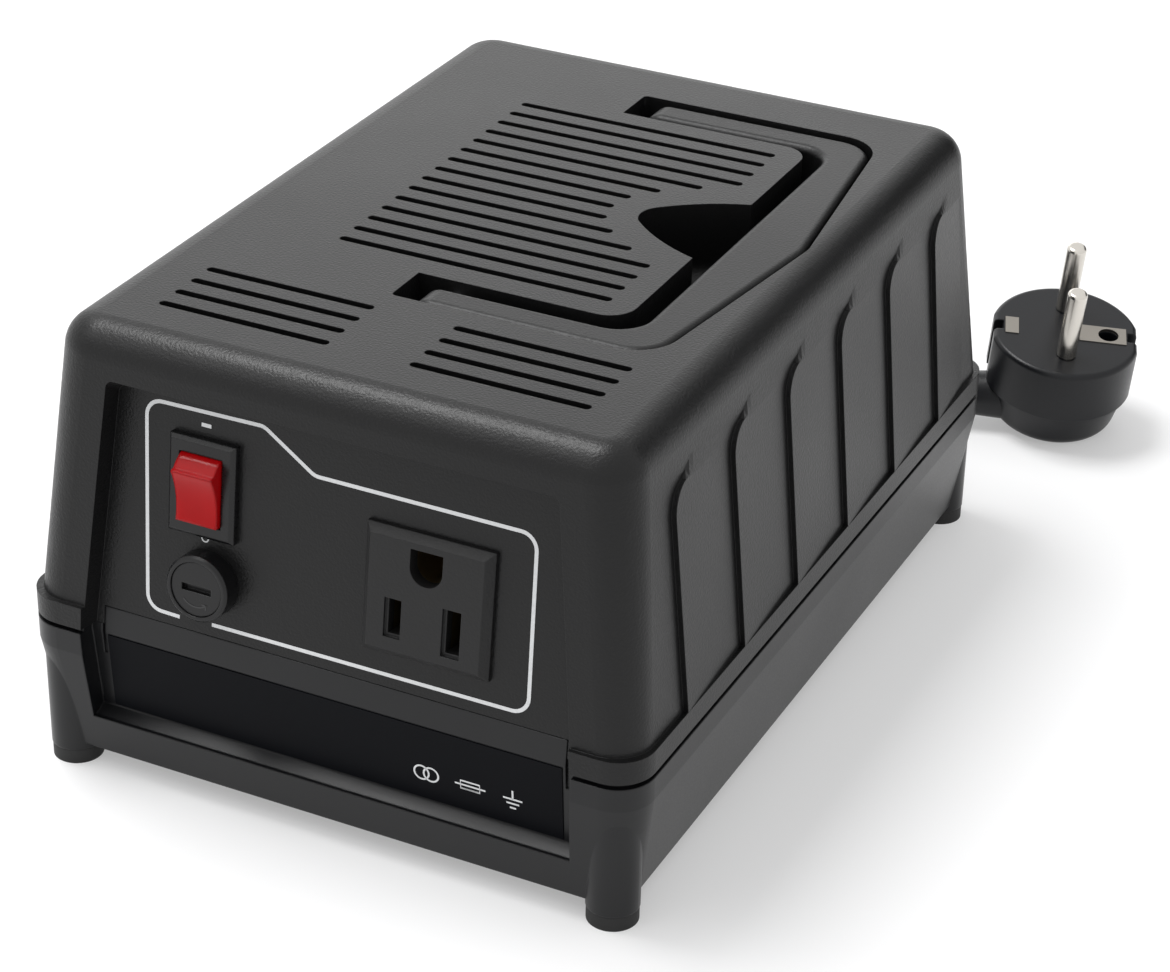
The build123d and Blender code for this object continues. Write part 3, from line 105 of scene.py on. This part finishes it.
def new_material(name, build):
    """A material whose last shader comes from a function of its first Shade."""
    made = bpy.data.materials.new(name)
    made.use_nodes = True
    tree = made.node_tree
    tree.nodes.clear()
    shader = build(Shade(tree))
    output = tree.nodes.new("ShaderNodeOutputMaterial")
    tree.links.new(shader.socket, output.inputs["Surface"])
    return made


def mesh_object(name, points, faces, material, smooth=False):
    """A mesh object from points in metres and faces."""
    mesh = bpy.data.meshes.new(name)
    mesh.from_pydata([tuple(point) for point in points], [], faces)
    mesh.materials.append(material)
    for polygon in mesh.polygons:
        polygon.use_smooth = smooth
    made = bpy.data.objects.new(name, mesh)
    bpy.context.collection.objects.link(made)
    return made


four_corners = [(0, 1, 2, 3)]
paper_white = (0.93, 0.93, 0.935, 1.0)
overexposure = 0.34


def white_sheet(start):
    """White paper, a little overexposed where it is seen or reflected."""
    paper = start.node("ShaderNodeBsdfDiffuse", {}, Color=paper_white)
    glow = start.node("ShaderNodeEmission", {}, Strength=1.0)
    return start.node("ShaderNodeMixShader", {}, start.seen() * overexposure, paper, glow)


sheet_half = 4.0
sheet_corners = [
    (-sheet_half, -sheet_half, 0.0),
    (sheet_half, -sheet_half, 0.0),
    (sheet_half, sheet_half, 0.0),
    (-sheet_half, sheet_half, 0.0),
]
sheet_paper = new_material("white_sheet", white_sheet)
table_sheet = mesh_object("table_sheet", sheet_corners, four_corners, sheet_paper)

card_tone = (0.01, 0.01, 0.01, 1.0)


def black_card(start):
    """Matt black card."""
    return start.node("ShaderNodeBsdfDiffuse", {}, Color=card_tone)


card_y = 1.50
card_left = 0.10
card_right = 1.35
card_low = 0.12
card_high = 1.15
card_corners = [
    (card_left, card_y, card_low),
    (card_right, card_y, card_low),
    (card_right, card_y, card_high),
    (card_left, card_y, card_high),
]
card_face = new_material("black_card", black_card)
shade_card = mesh_object("shade_card", card_corners, four_corners, card_face)
shade_card.visible_camera = False

light_target = Vector((0.0, 0.0, 0.05))


def soft_light(name, place, size, power):
    """A rectangular soft light that faces the converter."""
    lamp = bpy.data.lights.new(name, "AREA")
    lamp.shape = "RECTANGLE"
    lamp.size, lamp.size_y = size
    lamp.energy = power
    made = bpy.data.objects.new(name, lamp)
    made.location = place
    aim = light_target - Vector(place)
    made.rotation_euler = aim.to_track_quat("-Z", "Y").to_euler()
    bpy.context.collection.objects.link(made)


soft_light("overhead_light", place=(-0.48, 0.02, 1.35), size=(0.6, 0.5), power=13.5)
soft_light("front_left_light", place=(-0.80, -0.95, 1.55), size=(0.9, 0.9), power=4.0)
soft_light("rear_left_light", place=(-0.62, 1.00, 0.46), size=(1.0, 0.35), power=1.3)

room_white = (1.0, 1.0, 1.0, 1.0)
room_light_strength = 0.75
world = bpy.data.worlds.new("white_room")
bpy.context.scene.world = world
world.use_nodes = True
world.node_tree.nodes.clear()
room = Shade(world.node_tree)
lit = room.node("ShaderNodeBackground", {}, Strength=room_light_strength, Color=room_white)
shown = room.node("ShaderNodeBackground", {}, Strength=1.0, Color=room_white)
room_shader = room.node("ShaderNodeMixShader", {}, room.seen(), lit, shown)
room_output = world.node_tree.nodes.new("ShaderNodeOutputWorld")
world.node_tree.links.new(room_shader.socket, room_output.inputs["Surface"])
bpy.context.scene.view_settings.view_transform = "Standard"


# The camera.
# It stands to the right of the front panel and looks down on the roof, rolled
# a little about its own line of sight.
camera_place = Vector((0.27064, -0.54146, 0.37328))
camera_azimuth = radians(25.61)
camera_elevation = radians(29.17)
camera_roll = radians(1.23)
camera_back = Vector(
    (
        sin(camera_azimuth) * cos(camera_elevation),
        -cos(camera_azimuth) * cos(camera_elevation),
        sin(camera_elevation),
    )
)
level = Vector((cos(camera_azimuth), sin(camera_azimuth), 0.0))
upward = camera_back.cross(level)
camera_right = cos(camera_roll) * level + sin(camera_roll) * upward
camera_up = cos(camera_roll) * upward - sin(camera_roll) * level
camera = bpy.data.objects.new("camera", bpy.data.cameras.new("camera"))
camera.data.sensor_width = 36.0
camera.data.sensor_fit = "HORIZONTAL"
camera.data.lens = 97.80
camera.data.clip_start = 0.01
camera.data.clip_end = 20.0
camera.matrix_world = Matrix.Translation(camera_place) @ Matrix(
    (camera_right, camera_up, camera_back)
).transposed().to_4x4()
bpy.context.collection.objects.link(camera)
bpy.context.scene.camera = camera


# The lower housing.
# A tray of smooth black plastic on four round legs, moulded in one shot; its
# raised tongue closes the foot of the front panel.
cloud_scale = 26.0
grain_height = 0.00012
tone_swing = 0.3
grain_swing = 0.14
cloud_swing = 0.08


def moulded_plastic(tone, grain_scale, grain_depth, roughness, gloss, edge=0.0):
    """Builds a moulding's surface: a grain, cloudy gloss and softened edges."""

    def build(start):
        grain = start.noise(grain_scale, 2.0)
        cloud = start.noise(cloud_scale, 3.0)
        rounded = None
        if edge > 0:
            rounded = start.node("ShaderNodeBevel", {"samples": 4}, Radius=edge)
        bump = start.node(
            "ShaderNodeBump",
            {},
            Strength=grain_depth,
            Distance=grain_height,
            Height=grain,
            Normal=rounded,
        )
        dark = (*[(1 - tone_swing) * part for part in tone], 1.0)
        light = (*[(1 + tone_swing) * part for part in tone], 1.0)
        least_roughness = roughness - (grain_swing + cloud_swing) / 2
        return start.node(
            "ShaderNodeBsdfPrincipled",
            {},
            Base_Color=grain.blend(dark, light),
            Roughness=grain * grain_swing + cloud * cloud_swing + least_roughness,
            Specular_IOR_Level=gloss,
            Normal=bump,
        )

    return build


def dress(material, *names):
    """Gives pieces of the frame one finish."""
    for name in names:
        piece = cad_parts[name]
        piece.data.materials.clear()
        piece.data.materials.append(material)


base_plastic = new_material(
    "smooth_base",
    moulded_plastic(
        tone=(0.0040, 0.0042, 0.0050),
        grain_scale=2600.0,
        grain_depth=0.06,
        roughness=0.34,
        gloss=0.36,
        edge=0.0005,
    ),
)
dress(base_plastic, "lower_housing")


# The rubber feet.
# Four plugs of black rubber, pushed by their pegs into the ends of the legs.
foot_rubber = new_material(
    "foot_rubber",
    moulded_plastic(
        tone=(0.010, 0.010, 0.010),
        grain_scale=900.0,
        grain_depth=0.3,
        roughness=0.62,
        gloss=0.4,
        edge=0.0006,
    ),
)
dress(foot_rubber, "rubber_feet")


# The transformer.
# Varnished iron sheets round a nylon bobbin wound with copper under brown
# tape; steel straps and bolts hold it to the tray, and a cut-out watches it.
streak_depth = 0.08
streak_height = 0.0001
streak_swing = 0.15


def worn_metal(tone, roughness, streak_scale):
    """Builds plain metal with faint streaks in its polish."""

    def build(start):
        streaks = start.noise(streak_scale, 4.0)
        bump = start.node(
            "ShaderNodeBump", {}, Strength=streak_depth, Distance=streak_height, Height=streaks
        )
        return start.node(
            "ShaderNodeBsdfPrincipled",
            {},
            Base_Color=(*tone, 1.0),
            Metallic=1.0,
            Roughness=streaks * streak_swing + roughness,
            Normal=bump,
        )

    return build


varnished_iron = new_material(
    "varnished_iron", worn_metal(tone=(0.20, 0.20, 0.21), roughness=0.4, streak_scale=900.0)
)
dress(varnished_iron, "transformer_core")
zinc = new_material(
    "zinc_plate", worn_metal(tone=(0.55, 0.56, 0.58), roughness=0.25, streak_scale=700.0)
)
dress(zinc, "transformer_straps", "transformer_bolts")
nylon = new_material(
    "nylon",
    moulded_plastic(
        tone=(0.52, 0.51, 0.45),
        grain_scale=900.0,
        grain_depth=0.1,
        roughness=0.5,
        gloss=0.5,
        edge=0.0003,
    ),
)
dress(nylon, "transformer_bobbin")
winding_tape = new_material(
    "winding_tape",
    moulded_plastic(
        tone=(0.30, 0.12, 0.03),
        grain_scale=700.0,
        grain_depth=0.2,
        roughness=0.4,
        gloss=0.5,
        edge=0.0004,
    ),
)
dress(winding_tape, "transformer_winding")


# The mains lead.
# A round three-core cord in a soft black jacket leaves through a tapered relief
# in the rear wall and is put away in a flat coil behind the converter.
cord_diameter = 0.0068
exit_x = 0.012
exit_z = 0.015
floor_z = 0.00345
upper_z = 0.01105
coil_y = 0.150
coil_inner = 0.0289
coil_half_step = 0.0044
coil_half_turns = 4
coil_centre = Vector((exit_x - coil_inner - coil_half_step * coil_half_turns, coil_y, 0.0))
points_per_half_turn = 12
lead_route = [
    (exit_x, 0.1092, exit_z),
    (exit_x, 0.1228, exit_z),
    (exit_x, 0.1364, upper_z),
]
tail_route = [
    (-0.0147, 0.1013, floor_z),
    (0.0008, 0.1090, 0.0043),
    (0.0133, 0.1191, 0.0060),
    (0.02719, 0.12838, 0.0080),
    (0.04033, 0.13321, 0.0080),
]


def coil_route():
    """Half turns in on the upper layer, down, out on the floor, and a quarter turn away."""
    route = []
    for place in range((2 * coil_half_turns + 1) * points_per_half_turn + 1):
        turned = place / points_per_half_turn
        spread = max(abs(coil_half_turns + 0.5 - turned) - 0.5, 0.0)
        radius = coil_inner + coil_half_step * spread
        sunk = min(max(turned - coil_half_turns, 0.0), 1.0)
        height = upper_z + (floor_z - upper_z) * (1 - cos(pi * sunk)) / 2
        way = Vector((radius * cos(pi * turned), radius * sin(pi * turned), height))
        route.append(tuple(coil_centre + way))
    left_x, left_y, _ = route[-1]
    radius = coil_inner + coil_half_step * (coil_half_turns + 0.5)
    for place in range(1, points_per_half_turn // 2 + 1):
        turn = pi * place / points_per_half_turn
        route.append((left_x + radius * (1 - cos(turn)), left_y - radius * sin(turn), floor_z))
    return route


jacket_tone = (0.008, 0.008, 0.009, 1.0)
jacket_roughness = 0.36
jacket_swing = 0.2


def soft_jacket(start):
    """Soft black vinyl with a faint moulded skin."""
    grain = start.noise(900.0, 3.0)
    bump = start.node("ShaderNodeBump", {}, Strength=0.12, Distance=0.0002, Height=grain)
    return start.node(
        "ShaderNodeBsdfPrincipled",
        {},
        Base_Color=jacket_tone,
        Roughness=grain * jacket_swing + jacket_roughness,
        Normal=bump,
    )


def smooth_cord(name, route, diameter, material):
    """A round cord on one smooth line near its given route."""
    curve = bpy.data.curves.new(name, "CURVE")
    curve.dimensions = "3D"
    curve.bevel_depth = diameter / 2
    curve.bevel_resolution = 6
    curve.use_fill_caps = True
    spline = curve.splines.new("NURBS")
    spline.points.add(len(route) - 1)
    for point, place in zip(spline.points, route):
        point.co = (*place, 1.0)
    spline.order_u = 3
    spline.use_endpoint_u = True
    spline.resolution_u = 6
    curve.materials.append(material)
    made = bpy.data.objects.new(name, curve)
    bpy.context.collection.objects.link(made)
    return made


cord_jacket = new_material("cord_jacket", soft_jacket)
dress(cord_jacket, "cord_strain_relief")
cord_route = lead_route + coil_route() + tail_route
mains_cord = smooth_cord("mains_cord", cord_route, cord_diameter, cord_jacket)
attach(mains_cord, "housing")
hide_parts("cord_lead", "cord_coil", "cord_tail")
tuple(lead_route[0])


# The plug.
# A round earthed plug, moulded over its cord and lying on its back with two
# nickel-plated pins up and an earth clip at each side.
plug_plastic = new_material(
    "plug_moulding",
    moulded_plastic(
        tone=(0.005, 0.0055, 0.007),
        grain_scale=1500.0,
        grain_depth=0.10,
        roughness=0.34,
        gloss=0.32,
        edge=0.0006,
    ),
)
dress(plug_plastic, "plug_body")
nickel = new_material(
    "nickel_plate", worn_metal(tone=(0.66, 0.63, 0.58), roughness=0.16, streak_scale=500.0)
)
dress(nickel, "plug_pins")
dull_nickel = new_material(
    "dull_nickel", worn_metal(tone=(0.30, 0.28, 0.25), roughness=0.3, streak_scale=900.0)
)
dress(dull_nickel, "plug_earth_contacts")


# The upper housing.
# One moulding in black plastic with a fine spark-eroded grain, slotted over
# the transformer and held down by four long screws from below.
shell_tone = (0.0050, 0.0050, 0.0052)
shell_finish = {"grain_scale": 1900.0, "grain_depth": 0.75, "roughness": 0.37, "gloss": 0.30}
shell_plastic = new_material(
    "grained_shell", moulded_plastic(shell_tone, **shell_finish, edge=0.0002)
)
dress(shell_plastic, "upper_housing")
dress(zinc, "housing_screws")


# The wedges' crowns.
# Behind its rounded front corner each side wedge eases up into the wall; part
# of the upper housing, six on each side, shaded as one face with the wall.
wall_half = 0.069
wall_inset = 0.0011
wall_lean_run = 0.0058
wall_lean_rise = 0.0604
wall_lean = wall_lean_run / wall_lean_rise
band_top = 0.0396
wedge_first_y = -0.0728
wedge_pitch = 0.027
wedge_last_run = 0.018
wedge_count = 6
wedge_top = 0.0868
crown_start = 0.0052
crown_rise = 0.0034
crown_ease = 0.005
crown_lap = 0.0007
crown_skin = 0.00003
crown_steps = 12
crown_rows = 3


def side_wall(side, y, height, proud):
    """A place on a side wall at a height, moved out by a wedge's thickness."""
    return (side * (wall_half - wall_inset - wall_lean * (height - band_top) + proud), y, height)


def wedge_crown(name, first_y, run, side, material):
    """The skin over one wedge's top edge, from its face up to the wall."""
    points = []
    for step in range(crown_steps + 1):
        y = first_y + crown_start + (run - crown_start) * step / crown_steps
        proud = wall_inset * (1 - (y - first_y) / run) + crown_skin
        eased = min(1.0, (y - first_y - crown_start) / crown_ease)
        points.append(side_wall(side, y, wedge_top - crown_lap * eased, proud))
        points.append(side_wall(side, y, wedge_top, proud))
        points.append(side_wall(side, y, wedge_top + crown_rise * eased, -crown_skin))
    faces = []
    for step in range(crown_steps):
        for row in range(crown_rows - 1):
            low = crown_rows * step + row
            corners = (low, low + crown_rows, low + crown_rows + 1, low + 1)
            faces.append(corners if side > 0 else corners[::-1])
    made = mesh_object(name, points, faces, material, smooth=True)
    outward = Vector((side, 0.0, wall_lean)).normalized()
    made.data.normals_split_custom_set_from_vertices([outward] * len(points))
    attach(made, "housing")


crown_plastic = new_material("crown_shell", moulded_plastic(shell_tone, **shell_finish))
for place in range(wedge_count):
    first_y = wedge_first_y + wedge_pitch * place
    run = wedge_last_run if place == wedge_count - 1 else wedge_pitch
    wedge_crown(f"wedge_crown_left_{place}", first_y, run, -1, crown_plastic)
    wedge_crown(f"wedge_crown_right_{place}", first_y, run, 1, crown_plastic)


# The carry handle.
# The same grained plastic, moulded as one bowed grip between two arms that
# turn on steel pins and fold flush into the roof.
handle_plastic = new_material(
    "grained_handle",
    moulded_plastic(
        shell_tone,
        grain_scale=1900.0,
        grain_depth=0.60,
        roughness=0.40,
        gloss=0.30,
        edge=0.0005,
    ),
)
dress(handle_plastic, "carry_handle")
dress(zinc, "handle_pins")


# The outlet.
# A snap-in earthed outlet in hard black plastic with a coarse speckled face;
# its brass contacts lie deep behind the slots, and their brass is painted dark
# as painted shade for that depth.
fitting_plastic = new_material(
    "speckled_fitting",
    moulded_plastic(
        tone=(0.0085, 0.0085, 0.0088),
        grain_scale=1700.0,
        grain_depth=0.60,
        roughness=0.46,
        gloss=0.34,
        edge=0.0003,
    ),
)
dress(fitting_plastic, "outlet_body")
# Brass painted darker than bare brass: painted shade for contacts deep in their fittings; the
# switch's and the fuse's contacts share it.
shade_darkened_brass = new_material(
    "shade_darkened_brass", worn_metal(tone=(0.16, 0.12, 0.06), roughness=0.4, streak_scale=500.0)
)
dress(shade_darkened_brass, "outlet_blade_contacts", "outlet_earth_contact")


# The switch.
# A rocker of clear red plastic over a small lamp turns in a glossy black frame
# that snaps into the panel; its lower end is pressed in.
frame_finish = {"grain_scale": 2400.0, "grain_depth": 0.08, "roughness": 0.30, "gloss": 0.36}
frame_plastic = new_material(
    "switch_frame",
    moulded_plastic(tone=(0.005, 0.005, 0.0055), **frame_finish, edge=0.0004),
)
dress(frame_plastic, "switch_frame")
dress(shade_darkened_brass, "switch_terminals")

rocker_dark = (0.30, 0.002, 0.003, 1.0)
rocker_bright = (0.42, 0.003, 0.005, 1.0)
rocker_edge = 0.0009
rocker_roughness = 0.10
rocker_swing = 0.06
rocker_gloss = 0.14


def lamp_red(start):
    """Deep red plastic with a polished face."""
    cloud = start.noise(160.0, 2.0)
    rounded = start.node("ShaderNodeBevel", {"samples": 6}, Radius=rocker_edge)
    return start.node(
        "ShaderNodeBsdfPrincipled",
        {},
        Base_Color=cloud.blend(rocker_dark, rocker_bright),
        Roughness=cloud * rocker_swing + rocker_roughness,
        Specular_IOR_Level=rocker_gloss,
        Normal=rounded,
    )


dress(new_material("lamp_red", lamp_red), "power_rocker")

glass_tone = (0.85, 0.9, 0.92, 1.0)
glass_roughness = 0.03
glass_swing = 0.05
glass_clearness = 0.9


def clear_glass(start):
    """Clear glass."""
    cloud = start.noise(300.0, 1.0)
    return start.node(
        "ShaderNodeBsdfPrincipled",
        {},
        Base_Color=glass_tone,
        Roughness=cloud * glass_swing + glass_roughness,
        Transmission_Weight=glass_clearness,
    )


glass = new_material("clear_glass", clear_glass)
dress(glass, "switch_lamp")


# The fuse holder.
# A round holder screwed in from the front with a nut behind; its cap turns a
# quarter by the slot and comes out with the glass fuse.
dress(frame_plastic, "fuse_holder", "fuse_cap", "fuse_carrier", "fuse_nut")
dress(shade_darkened_brass, "fuse_contacts")
dress(glass, "fuse_tube")
dress(nickel, "fuse_ends")


# The thermal cut-out.
# A small closed case of the same plastic, stuck on top of the transformer's
# bobbin; too much heat there opens it.
dress(frame_plastic, "thermal_cutout")


# The label.
# A thin matt black film stuck into the lower recess.
label_film = new_material(
    "label_film",
    moulded_plastic(
        tone=(0.0034, 0.0037, 0.0050),
        grain_scale=3200.0,
        grain_depth=0.05,
        roughness=0.42,
        gloss=0.06,
        edge=0.00005,
    ),
)
dress(label_film, "panel_label")


# The printed frame.
# White ink, screen printed on the panel: one line round the outlet and the
# switch that stops on either side of the fuse holder.
ink_dull = (0.60, 0.61, 0.62, 1.0)
ink_bright = (0.72, 0.73, 0.74, 1.0)


def white_print(start):
    """White ink, a little uneven."""
    cloud = start.noise(1400.0, 2.0)
    return start.node(
        "ShaderNodeBsdfPrincipled",
        {},
        Base_Color=cloud.blend(ink_dull, ink_bright),
        Roughness=0.5,
    )


white_ink = new_material("white_ink", white_print)
ink_height = 0.00006
panel_lean = radians(6.9)
panel_mark = 0.058
panel_mark_y = -0.08816


def leaning_face(known_y, known_z, lean):
    """Gives a function for the places just above a leaning face, from X and height."""
    outward = Vector((0.0, -cos(lean), sin(lean)))

    def place(x, z):
        return Vector((x, known_y + (z - known_z) * tan(lean), z)) + ink_height * outward

    return place


on_panel = leaning_face(panel_mark_y, panel_mark, panel_lean)


def rounded_line(corners, radius, steps):
    """A line of points through its corners, each turned on an arc of one radius."""
    line = [Vector(corners[0])]
    for before, corner, after in zip(corners, corners[1:], corners[2:]):
        corner = Vector(corner)
        back = (Vector(before) - corner).normalized()
        on = (Vector(after) - corner).normalized()
        half = back.angle(on) / 2
        centre = corner + (back + on).normalized() * radius / sin(half)
        first = (corner + back * radius / tan(half) - centre).normalized()
        last = (corner + on * radius / tan(half) - centre).normalized()
        for step in range(steps + 1):
            line.append(centre + radius * first.slerp(last, step / steps))
    line.append(Vector(corners[-1]))
    return line


def printed_stroke(name, line, width, place, material, body="housing"):
    """A flat stroke along a line, laid on a face by a place function."""
    points = []
    for index, spot in enumerate(line):
        run = line[min(index + 1, len(line) - 1)] - line[max(index - 1, 0)]
        aside = Vector((-run.y, run.x)).normalized() * width / 2
        points.append(place(*(spot + aside)))
        points.append(place(*(spot - aside)))
    faces = [(2 * i, 2 * i + 1, 2 * i + 3, 2 * i + 2) for i in range(len(line) - 1)]
    made = mesh_object(name, points, faces, material)
    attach(made, body)


frame_corners = [
    (-0.0269, 0.0411),
    (0.0434, 0.0413),
    (0.0427, 0.0782),
    (-0.0050, 0.0783),
    (-0.0166, 0.0857),
    (-0.0431, 0.0853),
    (-0.0419, 0.0410),
    (-0.0344, 0.0408),
]
frame_stroke = 0.0008
frame_corner_radius = 0.0034
frame_corner_steps = 8
frame_line = rounded_line(frame_corners, frame_corner_radius, frame_corner_steps)
printed_stroke("printed_frame", frame_line, frame_stroke, on_panel, white_ink)


# The switch marks.
# Two small printed marks tell the rocker's ends apart: a bar above the switch
# and the lower half of a ring below it.
bar_x = -0.0294
bar_z = 0.0828
bar_half = 0.0011
bar_stroke = 0.0008
ring_x = -0.0290
ring_z = 0.0592
ring_radius = 0.00075
ring_stroke = 0.0003
ring_steps = 10


def level_line(x, z, half):
    """A level line on a face, from its middle and half its length."""
    return [Vector((x - half, z)), Vector((x + half, z))]


def arc_line(x, z, radius, first, last, steps):
    """A line of points along an arc, from one angle to another."""
    turns = [first + (last - first) * step / steps for step in range(steps + 1)]
    return [Vector((x + radius * cos(turn), z + radius * sin(turn))) for turn in turns]


bar_line = level_line(bar_x, bar_z, bar_half)
printed_stroke("switch_bar_mark", bar_line, bar_stroke, on_panel, white_ink)
ring_line = arc_line(ring_x, ring_z, ring_radius, pi, 2 * pi, ring_steps)
printed_stroke("switch_ring_mark", ring_line, ring_stroke, on_panel, white_ink)


# The fuse cap's arrow.
# A thin curved arrow, moulded a hair proud of the cap's face in the same black
# plastic, shows which way the cap turns; it is painted lighter than the cap, a
# painted highlight for the light its raised edges catch.
cap_centre = Vector((-0.0281, -0.09344, 0.05058))
arrow_radius = 0.0038
arrow_stroke = 0.00032
arrow_first = radians(222)
arrow_last = radians(310)
arrow_steps = 12
barb_length = 0.0011
barb_angle = radians(38)


def on_cap(x, up):
    """A place just above the fuse cap's face, from its middle."""
    upward = Vector((0.0, sin(panel_lean), cos(panel_lean)))
    outward = Vector((0.0, -cos(panel_lean), sin(panel_lean)))
    return cap_centre + Vector((x, 0.0, 0.0)) + up * upward + ink_height * outward


# Lighter than the cap's own black: painted highlight on the arrow's raised edges.
cap_arrow_painted_highlight = new_material(
    "cap_arrow_painted_highlight", moulded_plastic(tone=(0.030, 0.030, 0.031), **frame_finish)
)
arrow_line = arc_line(0.0, 0.0, arrow_radius, arrow_first, arrow_last, arrow_steps)
arrow_tip = arrow_line[-1]
arrow_back = arrow_last - pi / 2
barb_ends = [
    arrow_tip + barb_length * Vector((cos(arrow_back + aside), sin(arrow_back + aside)))
    for aside in (-barb_angle, barb_angle)
]
arrow_barbs = [barb_ends[0], arrow_tip, barb_ends[1]]
printed_stroke("cap_arrow", arrow_line, arrow_stroke, on_cap, cap_arrow_painted_highlight, "fuse_knob")
printed_stroke("cap_arrow_head", arrow_barbs, arrow_stroke, on_cap, cap_arrow_painted_highlight, "fuse_knob")


# The label's symbols.
# Three plain circuit symbols in white ink at the label's right end: two linked
# coils, a fuse and an earth; the rest of the film is bare.
label_lean = radians(4.4)
label_top = 0.03225
label_face_y = -0.09142
on_label = leaning_face(label_face_y, label_top, -label_lean)
symbol_z = 0.0212
symbol_size = 0.0042
symbol_stroke = 0.0004
coil_x = 0.0215
coil_aside = symbol_size / 4
coil_radius = symbol_size / 2.6
coil_steps = 24
fuse_x = 0.0312
fuse_half_run = symbol_size / 2
fuse_half_rise = symbol_size / 4.5
fuse_wire_half = symbol_size * 0.8
earth_x = 0.0405
earth_stem = symbol_size / 2
earth_bar_count = 3
earth_bar_gap = symbol_size / 4
earth_bar_half = symbol_size * 0.5
earth_bar_less = symbol_size * 0.17


def box_line(x, z, half_run, half_rise):
    """A closed rectangle as a line of points, one side drawn twice to close its corner."""
    signs = [(-1, -1), (1, -1), (1, 1), (-1, 1), (-1, -1), (1, -1)]
    return [Vector((x + run * half_run, z + rise * half_rise)) for run, rise in signs]


symbol_lines = [
    arc_line(coil_x - coil_aside, symbol_z, coil_radius, 0.0, 2 * pi, coil_steps),
    arc_line(coil_x + coil_aside, symbol_z, coil_radius, 0.0, 2 * pi, coil_steps),
    box_line(fuse_x, symbol_z, fuse_half_run, fuse_half_rise),
    level_line(fuse_x, symbol_z, fuse_wire_half),
    [Vector((earth_x, symbol_z + earth_stem)), Vector((earth_x, symbol_z))],
]
for bar in range(earth_bar_count):
    half = earth_bar_half - bar * earth_bar_less
    symbol_lines.append(level_line(earth_x, symbol_z - bar * earth_bar_gap, half))
for count, line in enumerate(symbol_lines):
    printed_stroke(f"label_symbol_{count}", line, symbol_stroke, on_label, white_ink)
